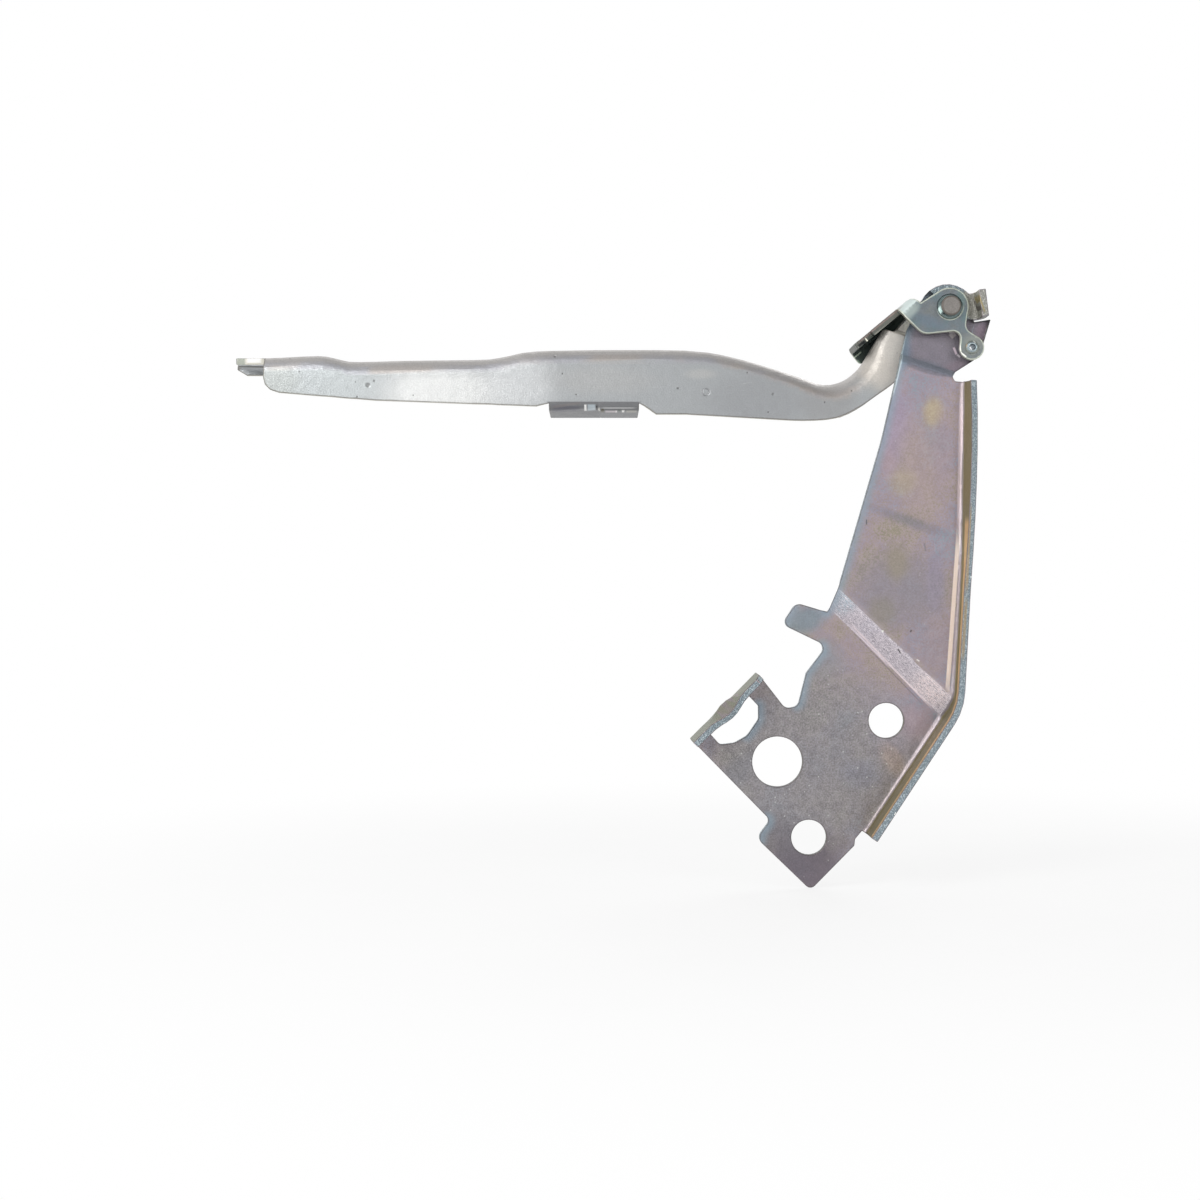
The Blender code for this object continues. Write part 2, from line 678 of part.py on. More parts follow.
def slot_tool(name, spot, length, material):
    """An upright round or slotted cutter for the bonnet flange."""
    outline = arc((length / 2, 0), BONNET_HOLE_RADIUS, -90, 90)
    outline += arc((-length / 2, 0), BONNET_HOLE_RADIUS, 90, 270)
    middle = ARM_FRONT + (ROLL + ARM_DEPTH - LIP_ROLL) / 2
    bm = bmesh.new()
    floor = line_height(PAD_TOP, spot) - HOLE_TOOL
    ring = [bm.verts.new((spot + p.x, middle + p.y, floor)) for p in outline]
    bm.faces.new(ring)
    weld(bm)
    made = bmesh.ops.extrude_face_region(bm, geom=bm.faces[:])
    raised = [g for g in made["geom"] if isinstance(g, bmesh.types.BMVert)]
    bmesh.ops.translate(bm, verts=raised, vec=(0, 0, 2 * HOLE_TOOL))
    bmesh.ops.recalc_face_normals(bm, faces=bm.faces)
    return make_object(name, bm, material)


def lathe(name, profile, material, centre=(0.0, 0.0), parent=None, steps=40):
    """Turn a closed (radius, depth) profile about an axis along Y."""
    bm = bmesh.new()
    rings = []
    for i in range(steps):
        turn = heading(math.tau * i / steps)
        rings.append([bm.verts.new((turn.x * r, y, turn.y * r)) for r, y in profile])
    for i in range(steps):
        for j in range(len(profile)):
            here, after = rings[i - 1], rings[i]
            if profile[j - 1][0] == 0 and profile[j][0] == 0:
                continue
            bm.faces.new((here[j - 1], here[j], after[j], after[j - 1]))
    weld(bm)
    bmesh.ops.dissolve_degenerate(bm, dist=WELD, edges=bm.edges)
    bmesh.ops.recalc_face_normals(bm, faces=bm.faces)
    return make_object(name, bm, material, centre, parent)


def build_pivot_rivet(material):
    """The solid rivet: a plain end that stands from the near ear and an upset tail behind."""
    front = EAR_FRONT - RIVET_STAND
    seat = FAR_EAR_BACK + CLEARANCE
    back = seat + RIVET_TAIL
    collar = EAR_FRONT - RIVET_COLLAR
    profile = [(0, front), (RIVET_TIP_RADIUS - RIVET_EDGE / 2, front),
               (RIVET_TIP_RADIUS, front + RIVET_EDGE), (RIVET_TIP_RADIUS, collar),
               (RIVET_RADIUS, collar), (RIVET_RADIUS, seat), (RIVET_TAIL_RADIUS - RIVET_EDGE, seat),
               (RIVET_TAIL_RADIUS, seat + RIVET_EDGE), (RIVET_TAIL_RADIUS, back - 2 * RIVET_EDGE),
               (RIVET_TAIL_RADIUS - 3 * RIVET_EDGE, back), (0, back)]
    return lathe("pivot_rivet", profile, material, PIVOT)


def build_pivot_bush(material, pivot):
    """The sleeve that spans both walls of the arm."""
    profile = [(BUSH_BORE, EYE_FRONT), (BUSH_RADIUS, EYE_FRONT), (BUSH_RADIUS, NECK_BACK),
               (BUSH_BORE, NECK_BACK)]
    return lathe("pivot_bush", profile, material, parent=pivot)


def build_washer(name, start, end, material):
    """A flat ring on the rivet between two depths."""
    profile = [(RIVET_HOLE, start), (WASHER_RADIUS, start), (WASHER_RADIUS, end), (RIVET_HOLE, end)]
    return lathe(name, profile, material, PIVOT)


def build_stop_rivet(material):
    """The tubular rivet that holds the lobe of the stop bracket to the head."""
    front = EAR_FRONT - CLEARANCE
    back = HEAD_BACK + CLEARANCE
    head = SMALL_RIVET_HEAD
    edge = SMALL_RIVET_HEAD_RADIUS
    profile = [(SMALL_RIVET_BORE, front - head / 2), (SMALL_RIVET_BORE + head / 2, front - head),
               (edge - head / 2, front - head), (edge, front - head / 2), (edge, front),
               (SMALL_RIVET_RADIUS, front), (SMALL_RIVET_RADIUS, back), (edge, back),
               (edge, back + head / 3), (edge - head / 3, back + head / 2),
               (SMALL_RIVET_BORE, back + head / 2)]
    return lathe("stop_bracket_rivet", profile, material, from_pivot(LOBE), steps=28)


def build_stop_bracket(material):
    """The U-shaped stop: near ear, stop flange over the neck and far ear."""
    along = heading(STOP_HEADING)
    inward = -left_of(along)
    corner = Vector(from_pivot(STOP_FLANGE_POINT))
    outer = STOP_BEND + STOP_GAUGE

    def local(a, b):
        return corner + along * a + inward * b

    bm = bmesh.new()
    lobe = from_pivot(LOBE)
    hollow = from_pivot(EAR_HOLLOW)
    ear = [local(EAR_BEND_END, outer)] + arc(PIVOT, EAR_RADIUS, *EAR_ARC)
    lobe_edge = arc(lobe, LOBE_RADIUS, *LOBE_ARC)
    ear += fillet(ear[-1], Vector(hollow[:2]), lobe_edge[0], hollow[2]) + lobe_edge
    low = [(*ear[-1], 0)] + [from_pivot(spot) for spot in EAR_EDGE]
    ear += rounded(low + [(*local(EAR_BEND_START, outer), 0)], closed=False)[1:]
    add_blank(bm, ear, [circle(PIVOT, RIVET_HOLE), circle(lobe, SMALL_RIVET_HOLE, 24)], EAR_FRONT)

    bend = bend_profile(outer, math.pi / 2)
    rows = []
    for a, slant in ((EAR_BEND_START, 0.0), (EAR_BEND_END, EAR_BEND_SLANT)):
        rows.append([place(local(a - slant * rise / outer, outer - across), EAR_FRONT + rise)
                     for across, rise in bend])
    add_grid(bm, rows)
    columns = [STOP_FLANGE_START, NOTCH_START, NOTCH_START + NOTCH_LENGTH, EAR_BEND_START,
               EAR_BEND_END - EAR_BEND_SLANT]
    flange_rows = []
    for a in columns:
        row = [place(local(a, 0.0), EAR_FRONT + outer)]
        row.append(place(local(a, 0.0), EAR_FRONT + outer + NOTCH_DEPTH))
        row += [place(local(a, outer - across), FAR_EAR_BACK - rise) for across, rise in reversed(bend)]
        flange_rows.append(row)
    add_grid(bm, flange_rows, lambda i, j: (i, j) == (1, 0))

    eye = Vector((along.dot(Vector(PIVOT) - corner), inward.dot(Vector(PIVOT) - corner)))
    web_bend = (*local(*FAR_WEB_BEND[:2]), FAR_WEB_BEND[2])
    web = [(*local(STOP_FLANGE_START, outer), 0), (*local(STOP_FLANGE_START, FAR_WEB_WIDTH), FAR_WEB_CORNER),
           web_bend, (*local(eye.x, eye.y + FAR_EAR_RADIUS), 0)]
    far = [local(a, outer) for a in reversed(columns)]
    far += rounded(web, closed=False)[1:-1]
    far += arc(PIVOT, FAR_EAR_RADIUS, *[math.degrees(STOP_HEADING) + turn for turn in FAR_EAR_ARC])
    add_blank(bm, far, [circle(PIVOT, RIVET_HOLE)], FAR_EAR_BACK)
    weld(bm)
    face_viewer(bm, place(lobe, EAR_FRONT))
    item = make_object("stop_bracket", bm, material)
    give_gauge(item, STOP_GAUGE)
    return item


def main():
    """Build the hinge."""
    clear_scene()
    zinc = finish("iridescent_zinc", (0.46, 0.42, 0.43), 0.9, 0.38)
    silver = finish("satin_zinc", (0.62, 0.61, 0.58), 0.85, 0.42)
    green = finish("green_zinc", (0.36, 0.42, 0.40), 0.9, 0.36)
    steel = finish("pivot_steel", (0.42, 0.40, 0.38), 0.9, 0.5)

    pivot = bpy.data.objects.new("arm_pivot", None)
    pivot.location = (PIVOT[0] * MM, 0.0, PIVOT[1] * MM)
    bpy.context.collection.objects.link(pivot)

    build_body_bracket(zinc)
    build_arm(silver, pivot)
    build_stop_bracket(green)
    build_pivot_rivet(steel)
    build_pivot_bush(steel, pivot)
    build_washer("near_washer", HEAD_BACK + RUNNING_GAP, EYE_FRONT - RUNNING_GAP, steel)
    build_washer("far_washer", NECK_BACK + RUNNING_GAP, FAR_EAR_FRONT - RUNNING_GAP, steel)
    build_stop_rivet(green)


main()
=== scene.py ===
# %% [markdown]
# # A bonnet hinge, dressed for its picture
#
# A bonnet hinge is a body bracket, a gooseneck arm and a small stop bracket round one pivot rivet. The
# CAD model gives every piece its size and place. This lesson keeps those sizes and adds what a CAD
# model leaves out: rounded rims, turned rivets, shear ridges, tool marks and the coloured film of a
# zinc plating. Several highlights and shades are painted into the colours as well. All coordinates
# are in metres, in the frame of the CAD model.

import math

import bmesh
import bpy
import numpy as np
from mathutils import Matrix, Vector
from mathutils.bvhtree import BVHTree
from mathutils.kdtree import KDTree


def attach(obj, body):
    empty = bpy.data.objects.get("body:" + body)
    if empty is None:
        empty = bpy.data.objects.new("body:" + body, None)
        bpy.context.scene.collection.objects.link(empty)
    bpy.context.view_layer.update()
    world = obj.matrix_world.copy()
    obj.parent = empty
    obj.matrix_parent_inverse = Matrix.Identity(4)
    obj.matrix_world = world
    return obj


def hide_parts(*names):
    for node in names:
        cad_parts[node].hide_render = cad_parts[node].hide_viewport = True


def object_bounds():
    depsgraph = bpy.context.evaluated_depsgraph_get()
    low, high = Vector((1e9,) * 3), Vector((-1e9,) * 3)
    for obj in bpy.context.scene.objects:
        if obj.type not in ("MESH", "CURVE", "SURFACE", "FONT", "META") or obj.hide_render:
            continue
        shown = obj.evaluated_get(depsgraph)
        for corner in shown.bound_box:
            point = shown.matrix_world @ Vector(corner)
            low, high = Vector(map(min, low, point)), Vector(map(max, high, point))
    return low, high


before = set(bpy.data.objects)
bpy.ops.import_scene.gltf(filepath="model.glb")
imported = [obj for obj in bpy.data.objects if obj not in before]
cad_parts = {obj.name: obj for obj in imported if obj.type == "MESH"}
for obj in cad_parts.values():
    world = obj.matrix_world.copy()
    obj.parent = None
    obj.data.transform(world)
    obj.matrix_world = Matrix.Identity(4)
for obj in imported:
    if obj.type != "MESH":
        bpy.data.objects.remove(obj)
cad_low, cad_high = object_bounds()
MM = 0.001
print("CAD box in mm:", [round((b - a) / MM, 1) for a, b in zip(cad_low, cad_high)])

# %% [markdown]
# ## The camera
#
# The picture was taken square on, from a hand's reach away: the far parts are a little smaller than the
# near ones. A camera could be turned by eye until it fits. It is easier to measure: with the camera
# level and looking along Y, one scale and one distance fit every edge. The helper `seen_at` runs the
# other way, from a place in the 1200 pixel picture to a place on the hinge at a known depth.

# %% Camera and picture coordinates
CAMERA_PLACE = Vector((-86.6, -662.4, 62.5))
LENS = 56.57
SENSOR = 36.0
PICTURE = 1200

camera_data = bpy.data.cameras.new("picture camera")
camera_data.lens = LENS
camera_data.sensor_width = SENSOR
camera = bpy.data.objects.new("picture camera", camera_data)
camera.location = CAMERA_PLACE * MM
camera.rotation_euler = (math.radians(90), 0, 0)
bpy.context.collection.objects.link(camera)
bpy.context.scene.camera = camera


def seen_at(column, row, depth=-10.4):
    """Place in mm that the camera sees at a pixel of the picture, on the plane at that depth."""
    scale = (depth - CAMERA_PLACE.y) * SENSOR / LENS / PICTURE
    half = PICTURE / 2
    return Vector((CAMERA_PLACE.x + (column - half) * scale, depth, CAMERA_PLACE.z + (half - row) * scale))


print("Picture centre in mm:", [round(c, 1) for c in seen_at(600, 600)])

# %% [markdown]
# ## Node trees in short
#
# Materials, groups and Geometry Nodes are all trees of nodes and links. Placing each node by hand takes
# many lines, so a small class does it: it adds a node, sets its values, and links whatever is a socket.

# %% A helper that writes node trees


class Tree:
    """Adds nodes to a tree. A value that is a socket is linked, anything else is set."""

    def __init__(self, tree):
        self.tree = tree

    def put(self, socket, value):
        if isinstance(value, bpy.types.NodeSocket):
            self.tree.links.new(value, socket)
        elif value is not None:
            socket.default_value = value

    def node(self, kind, inputs=None, **settings):
        node = self.tree.nodes.new(kind)
        for name, value in settings.items():
            setattr(node, name, value)
        for key, value in (inputs or {}).items():
            self.put(node.inputs[key], value)
        return node

    def math(self, operation, first, second=None, clamp=False):
        node = self.node("ShaderNodeMath", {0: first, 1: second}, operation=operation, use_clamp=clamp)
        return node.outputs[0]

    def vector(self, operation, first, second=None, scale=None):
        node = self.node("ShaderNodeVectorMath", {0: first, 1: second}, operation=operation)
        if scale is not None:
            self.put(node.inputs["Scale"], scale)
        return node.outputs["Value" if operation in ("LENGTH", "DOT_PRODUCT", "DISTANCE") else "Vector"]

    def between(self, value, low, high):
        """0 below low, 1 above high, smooth between. Low may be the larger one."""
        node = self.node("ShaderNodeMapRange", {"Value": value, "From Min": low, "From Max": high},
                         interpolation_type="SMOOTHSTEP")
        return node.outputs["Result"]

    def mix(self, share, first, second, blend="MIX"):
        node = self.node("ShaderNodeMix", data_type="RGBA", blend_type=blend)
        self.put(node.inputs[0], share)
        self.put(node.inputs[6], first)
        self.put(node.inputs[7], second)
        return node.outputs[2]

    def noise(self, place, scale, detail=2.0, roughness=0.5, distortion=0.0):
        node = self.node("ShaderNodeTexNoise", {"Vector": place, "Scale": scale, "Detail": detail,
                                                "Roughness": roughness, "Distortion": distortion})
        return node.outputs[0]

    def ramp(self, value, stops):
        node = self.node("ShaderNodeValToRGB", {"Fac": value})
        marks = node.color_ramp.elements
        while len(marks) < len(stops):
            marks.new(0.5)
        for mark, (position, colour) in zip(marks, stops):
            mark.position = position
            mark.color = colour
        return node.outputs["Color"]

    def group(self, made, inputs):
        return self.node("ShaderNodeGroup", inputs, node_tree=made).outputs


def screen(red, green, blue):
    """Linear colour of a colour as a screen shows it, from 0 to 255."""
    shares = [c / 255 for c in (red, green, blue)]
    return (*[s / 12.92 if s <= 0.04045 else ((s + 0.055) / 1.055) ** 2.4 for s in shares], 1.0)


# %% [markdown]
# ## Floor and light
#
# The hinge is shown on white. A brighter lamp would bleach it, so the white comes from the floor itself:
# its material looks at the kind of ray. Camera, glossy and transmission rays see a white that shines by
# itself, with a share of plain white paint that still takes the shadow. The sky does the same.

# %% The floor
FLOOR_SIZE = 6.0
FLOOR_DROP = 0.3
SHADOW_SHARE = 0.22
SHADOW_REACH = (0.12, 0.42)


def flat_sheet(name, size, level):
    """A square sheet that faces up."""
    bm = bmesh.new()
    bmesh.ops.create_grid(bm, x_segments=8, y_segments=8, size=size / 2)
    bmesh.ops.translate(bm, verts=bm.verts, vec=(0, 0, level))
    mesh = bpy.data.meshes.new(name)
    bm.to_mesh(mesh)
    bm.free()
    sheet = bpy.data.objects.new(name, mesh)
    bpy.context.collection.objects.link(sheet)
    return sheet


def new_material(name):
    """An empty material with a tree helper and its output node."""
    material = bpy.data.materials.new(name)
    material.use_nodes = True
    material.node_tree.nodes.clear()
    tree = Tree(material.node_tree)
    return material, tree, tree.node("ShaderNodeOutputMaterial")


def seen_rays(tree):
    """1 for a ray from the camera, a mirror or a glass."""
    path = tree.node("ShaderNodeLightPath")
    seen = tree.math("MAXIMUM", path.outputs["Is Camera Ray"], path.outputs["Is Glossy Ray"])
    return tree.math("MAXIMUM", seen, path.outputs["Is Transmission Ray"])


floor_paint, tree, output = new_material("white floor")
paper = tree.noise(tree.node("ShaderNodeTexCoord").outputs["Object"], 40.0, 3.0)
paper = tree.mix(paper, screen(238, 238, 238), screen(243, 243, 243))
matt = tree.node("ShaderNodeBsdfDiffuse", {"Color": paper})
shine = tree.node("ShaderNodeEmission", {"Color": (1, 1, 1, 1), "Strength": 1.0})
centre = tree.node("ShaderNodeTexCoord").outputs["Object"]
far = tree.between(tree.vector("LENGTH", centre), *SHADOW_REACH)
white = tree.math("ADD", 1 - SHADOW_SHARE, tree.math("MULTIPLY", far, SHADOW_SHARE))
share = tree.math("MULTIPLY", seen_rays(tree), white)
mixed = tree.node("ShaderNodeMixShader", {0: share, 1: matt.outputs[0], 2: shine.outputs[0]})
tree.put(output.inputs["Surface"], mixed.outputs[0])

floor = flat_sheet("floor", FLOOR_SIZE, cad_low.z - FLOOR_DROP * MM)
floor.data.materials.append(floor_paint)
print("Floor at", round(floor.data.vertices[0].co.z / MM, 1), "mm")

# %% [markdown]
# Metal shows what stands round it more than its own colour. The photograph's arm is nearly white at its
# left end and mid grey at its right end, so its studio was bright on the left and dim on the right. The
# world gets that slope, dimmer overhead, and one large soft lamp on the left draws the highlights.

# %% World and lamps
LAMPS = [
    ("soft key", (-520, -620, 420), 420, 3.2),
    ("soft fill", (430, -560, 260), 360, 0.9),
    ("rim strip", (260, 420, 420), 300, 0.8),
]

world = bpy.data.worlds.new("white studio")
bpy.context.scene.world = world
world.use_nodes = True
world.node_tree.nodes.clear()
tree = Tree(world.node_tree)
direction = tree.node("ShaderNodeTexCoord").outputs["Generated"]
axes = tree.node("ShaderNodeSeparateXYZ", {0: direction}).outputs
side = tree.between(axes["X"], 0.75, -0.85)
overhead = tree.between(axes["Z"], 0.2, 0.9)
behind = tree.between(axes["Y"], 0.05, 0.6)
level = tree.math("ADD", tree.math("MULTIPLY", side, 0.4), 0.5)
level = tree.math("SUBTRACT", level, tree.math("MULTIPLY", overhead, 0.3))
level = tree.math("ADD", level, tree.math("MULTIPLY", behind, 0.3))
studio = tree.node("ShaderNodeCombineColor", {0: level, 1: level, 2: level}).outputs[0]
path = tree.node("ShaderNodeLightPath").outputs
clear = tree.math("MAXIMUM", path["Is Camera Ray"], path["Is Transmission Ray"])
clear = tree.math("MAXIMUM", clear, tree.math("MULTIPLY", path["Is Glossy Ray"], behind))
shown = tree.mix(clear, studio, (1, 1, 1, 1))
sky = tree.node("ShaderNodeBackground", {"Color": shown, "Strength": 1.0})
tree.node("ShaderNodeOutputWorld", {"Surface": sky.outputs[0]})

aim = seen_at(760, 480, 0) * MM
for name, place, size, power in LAMPS:
    lamp_data = bpy.data.lights.new(name, "AREA")
    lamp_data.shape = "DISK"
    lamp_data.size = size * MM
    lamp_data.energy = power
    lamp = bpy.data.objects.new(name, lamp_data)
    lamp.location = Vector(place) * MM
    lamp.rotation_euler = (aim - lamp.location).to_track_quat("-Z", "Y").to_euler()
    bpy.context.collection.objects.link(lamp)
bpy.context.scene.view_settings.view_transform = "Standard"
print("Lamps:", ", ".join(name for name, *rest in LAMPS))

# %% [markdown]
# ## From a CAD solid to a pressing
#
# A pressed part has two skins, its front and its back, and between them the rim that the shears left.
# The CAD mesh is loose triangles with perfectly sharp rims. Each piece is copied, its triangles merged,
# and its faces sorted: faces that join across a gentle bend belong together, and the two largest groups
# are the skins. Everything else is a sheared rim or the wall of a hole.

# %% Sort the faces of a pressing
GENTLE = math.radians(35)
SHORT_EDGE = 0.35
SKIN, SHEARED, ROUNDED, BORED = range(4)
ROUND_WALL = 0.06


def merged_copy(node):
    """The CAD node's mesh as one closed bmesh, with flat areas in large faces and no very short edges."""
    bm = bmesh.new()
    bm.from_mesh(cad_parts[node].data)
    bmesh.ops.remove_doubles(bm, verts=bm.verts, dist=0.002 * MM)
    bmesh.ops.dissolve_limit(bm, angle_limit=math.radians(0.6), verts=bm.verts, edges=bm.edges)
    bmesh.ops.dissolve_degenerate(bm, dist=SHORT_EDGE * MM, edges=bm.edges)
    for face in bm.faces:
        face.smooth = True
    return bm


def gentle_groups(bm):
    """Faces in groups that join across edges with a small angle, largest area first."""
    groups, waiting = [], set(bm.faces)
    while waiting:
        front = [waiting.pop()]
        group = []
        while front:
            face = front.pop()
            group.append(face)
            for edge in face.edges:
                if len(edge.link_faces) == 2 and edge.calc_face_angle() < GENTLE:
                    for other in edge.link_faces:
                        if other in waiting:
                            waiting.discard(other)
                            front.append(other)
        groups.append(group)
    return sorted(groups, key=lambda group: -sum(face.calc_area() for face in group))


def is_bore(group):
    """Whether a group of faces is the round wall of a hole."""
    centres = [face.calc_center_median() for face in group]
    middle = sum(centres, Vector()) / len(centres)
    reaches = [Vector((c.x - middle.x, c.z - middle.z)).length for c in centres]
    mean = sum(reaches) / len(reaches)
    inward = all(face.normal.dot(middle - centre) > 0 for face, centre in zip(group, centres))
    return inward and len(group) > 8 and max(reaches) - min(reaches) < ROUND_WALL * mean


def sort_faces(bm):
    """Mark each face by its material index, and return the rim lines, the way each faces and its kind."""
    for number, group in enumerate(gentle_groups(bm)):
        kind = SKIN if number < 2 else BORED if is_bore(group) else SHEARED
        for face in group:
            face.material_index = kind
    rims = []
    for edge in bm.edges:
        skin = [face for face in edge.link_faces if face.material_index == SKIN]
        wall = [face for face in edge.link_faces if face.material_index != SKIN]
        if skin and wall:
            sheared = wall[0].material_index == SHEARED
            rims.append((edge.verts[0].co.copy(), edge.verts[1].co.copy(), wall[0].normal.copy(), sheared))
    return rims


# %% [markdown]
# A sheared rim isn't sharp: the punch drags one side over. A Bevel modifier rounds every rim by a
# quarter of a millimetre, and gives the new strips a material index of their own, so that the normals
# can treat them apart. Then the mesh is sliced into small cells, so that each point can keep its distance
# from the rims, which the bands of the finish follow: film bands, dark lines and painted highlights.

# %% Round the rims and slice the skins
RIM_RADIUS = 0.26
CELL = 2.0
FAR_FROM_RIM = 14.0
FOLD_ATTEMPTS = 4
FOLDED = -0.5
NO_LENGTH = 0.001
LEFTWARD = Vector((-0.97, 0, 0.24))
LEFT_ENOUGH = 0.86


def rounded_mesh(bm, name):
    """Bevel the sharp edges of a bmesh and return the plain mesh."""
    mesh = bpy.data.meshes.new(name)
    bm.to_mesh(mesh)
    bm.free()
    for kind in (SKIN, SHEARED, ROUNDED, BORED):
        mesh.materials.append(None)
    holder = bpy.data.objects.new(name, mesh)
    bpy.context.collection.objects.link(holder)
    bevel = holder.modifiers.new("rounded rims", "BEVEL")
    bevel.width = RIM_RADIUS * MM
    bevel.segments = 2
    bevel.limit_method = "ANGLE"
    bevel.angle_limit = GENTLE
    bevel.material = ROUNDED
    bevel.use_clamp_overlap = False
    ready = holder.evaluated_get(bpy.context.evaluated_depsgraph_get())
    result = bpy.data.meshes.new_from_object(ready)
    bpy.data.objects.remove(holder)
    return result


def triangulated(mesh, original):
    """Turn a mesh into flat triangles, and close slivers that face the wrong way after the bevel."""
    bm = bmesh.new()
    bm.from_mesh(mesh)
    bmesh.ops.triangulate(bm, faces=bm.faces, quad_method="BEAUTY", ngon_method="BEAUTY")
    for attempt in range(FOLD_ATTEMPTS):
        bm.normal_update()
        folded = [face for face in bm.faces
                  if face.normal.dot(original.find_nearest(face.calc_center_median())[1]) < FOLDED]
        short = {min(face.edges, key=lambda edge: edge.calc_length()) for face in folded}
        bmesh.ops.collapse(bm, edges=list(short))
        bmesh.ops.dissolve_degenerate(bm, dist=NO_LENGTH * MM, edges=bm.edges)
        print("closed", len(folded), "folded slivers")
        if not folded:
            break
    bmesh.ops.triangulate(bm, faces=[face for face in bm.faces if len(face.verts) > 3])
    bm.to_mesh(mesh)
    bm.free()


def slice_cells(mesh, cell):
    """Cut a mesh along evenly spaced planes in X, Y and Z, so that no face is larger than a cell."""
    bm = bmesh.new()
    bm.from_mesh(mesh)
    for axis in range(3):
        normal = Vector([float(axis == i) for i in range(3)])
        places = [vert.co[axis] / MM / cell for vert in bm.verts]
        for step in range(math.ceil(min(places)), math.floor(max(places)) + 1):
            spot = normal * ((step + 0.37) * cell * MM)
            everything = bm.verts[:] + bm.edges[:] + bm.faces[:]
            bmesh.ops.bisect_plane(bm, geom=everything, dist=0.0004 * MM, plane_co=spot, plane_no=normal)
    bmesh.ops.dissolve_degenerate(bm, dist=0.003 * MM, edges=bm.edges)
    bmesh.ops.triangulate(bm, faces=[face for face in bm.faces if len(face.verts) > 4])
    bm.to_mesh(mesh)
    bm.free()


def rim_distances(places, rims):
    """Distance in mm from each place to the nearest rim line."""
    spots = []
    for start, end, side, sheared in rims:
        steps = max(1, math.ceil((end - start).length / (0.4 * MM)))
        spots += [start.lerp(end, i / steps) for i in range(steps + 1)]
    tree = KDTree(len(spots))
    for number, spot in enumerate(spots):
        tree.insert(spot, number)
    tree.balance()
    return np.array([min(tree.find(Vector(p))[2] / MM, FAR_FROM_RIM) for p in places])


# %% [markdown]
# Smooth shading averages the normals round a point, and the tiny strips of a bevel would drag the normals
# of a wide flat face with them. So the normals are worked out here: a point on a skin takes its normal
# from the skin alone, and only points in the middle of a rounded strip take it from the strips.

# %% Normals that keep flats flat
FULL_WEIGHT_AREA = 0.05


def settle_normals(mesh):
    """Give every point of a mesh the normal of the wide faces round it."""
    places = np.empty(len(mesh.vertices) * 3)
    mesh.vertices.foreach_get("co", places)
    places = places.reshape(-1, 3)
    wide = np.zeros((len(places), 3))
    narrow = np.zeros((len(places), 3))
    for face in mesh.polygons:
        ring = places[list(face.vertices)]
        before, after = np.roll(ring, 1, 0) - ring, np.roll(ring, -1, 0) - ring
        lengths = np.linalg.norm(before, axis=1) * np.linalg.norm(after, axis=1) + 1e-15
        angles = np.arccos(np.clip((before * after).sum(1) / lengths, -1, 1))
        target = narrow if face.material_index == ROUNDED else wide
        weight = min(face.area / (FULL_WEIGHT_AREA * MM * MM), 1.0)
        np.add.at(target, list(face.vertices), weight * angles[:, None] * np.array(face.normal))
    lost = np.linalg.norm(wide, axis=1) < 1e-6
    wide[lost] = narrow[lost]
    normals = wide / (np.linalg.norm(wide, axis=1)[:, None] + 1e-12)
    mesh.normals_split_custom_set_from_vertices([tuple(n) for n in normals])


def keep_values(mesh, name, domain, values):
    """Store one number for each point or face, where a material can read it."""
    attribute = mesh.attributes.new(name, "FLOAT", domain)
    attribute.data.foreach_set("value", np.asarray(values, dtype=np.float32))


def add_piece(name, mesh, body, slot, material, *nodes):
    """Show a finished mesh in place of CAD nodes, on the body that carries them."""
    mesh.materials.clear()
    mesh.materials.append(material)
    piece = bpy.data.objects.new(name, mesh)
    bpy.context.collection.objects.link(piece)
    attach(piece, body)
    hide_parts(*nodes)
    triangles = sum(len(face.vertices) - 2 for face in mesh.polygons)
    print(name, "stands for", ", ".join(nodes) or "no node", "and has", triangles, "triangles")
    return piece


def dress(name, node, body, slot, material, cell=CELL):
    """Make the shown piece of one CAD node: rounded, sliced and ready for its finish."""
    bm = merged_copy(node)
    rims = sort_faces(bm)
    original = BVHTree.FromBMesh(bm)
    mesh = rounded_mesh(bm, name)
    triangulated(mesh, original)
    slice_cells(mesh, cell)
    places = np.empty(len(mesh.vertices) * 3)
    mesh.vertices.foreach_get("co", places)
    places = places.reshape(-1, 3)
    keep_values(mesh, "rim", "POINT", rim_distances(places, rims))
    left = [rim for rim in rims if rim[3] and rim[2].dot(LEFTWARD) > LEFT_ENOUGH]
    if left:
        keep_values(mesh, "left_rim", "POINT", rim_distances(places, left))
    kinds = [face.material_index for face in mesh.polygons]
    keep_values(mesh, "sheared", "FACE", [float(kind == SHEARED) for kind in kinds])
    keep_values(mesh, "bored", "FACE", [float(kind == BORED) for kind in kinds])
    settle_normals(mesh)
    mesh.polygons.foreach_set("material_index", np.zeros(len(kinds), dtype=np.int32))
    return add_piece(name, mesh, body, slot, material, node)


# %% [markdown]
# ## Effects that several finishes share
#
# Zinc plating has a fine grain, a coloured film whose tint follows its thickness, scratches and bright
# specks; along the rims the finishes lay bands of film colour, dark lines and painted highlights. Each
# effect is a node group with named inputs, built once and placed in each material with its own values.
# Groups work in millimetres and give out masks and colours only.

# %% A helper that makes node groups


def new_group(name, inputs, outputs):
    """A shader node group with named sockets. Gives its tree helper, its inputs and its output node."""
    made = bpy.data.node_groups.new(name, "ShaderNodeTree")
    kinds = {float: "NodeSocketFloat", tuple: "NodeSocketVector", str: "NodeSocketColor"}
    for label, value in inputs.items():
        socket = made.interface.new_socket(label, in_out="INPUT", socket_type=kinds[type(value)])
        socket.default_value = value
    for label, kind in outputs.items():
        made.interface.new_socket(label, in_out="OUTPUT", socket_type=kinds[kind])
    tree = Tree(made)
    return made, tree, tree.node("NodeGroupInput").outputs, tree.node("NodeGroupOutput")


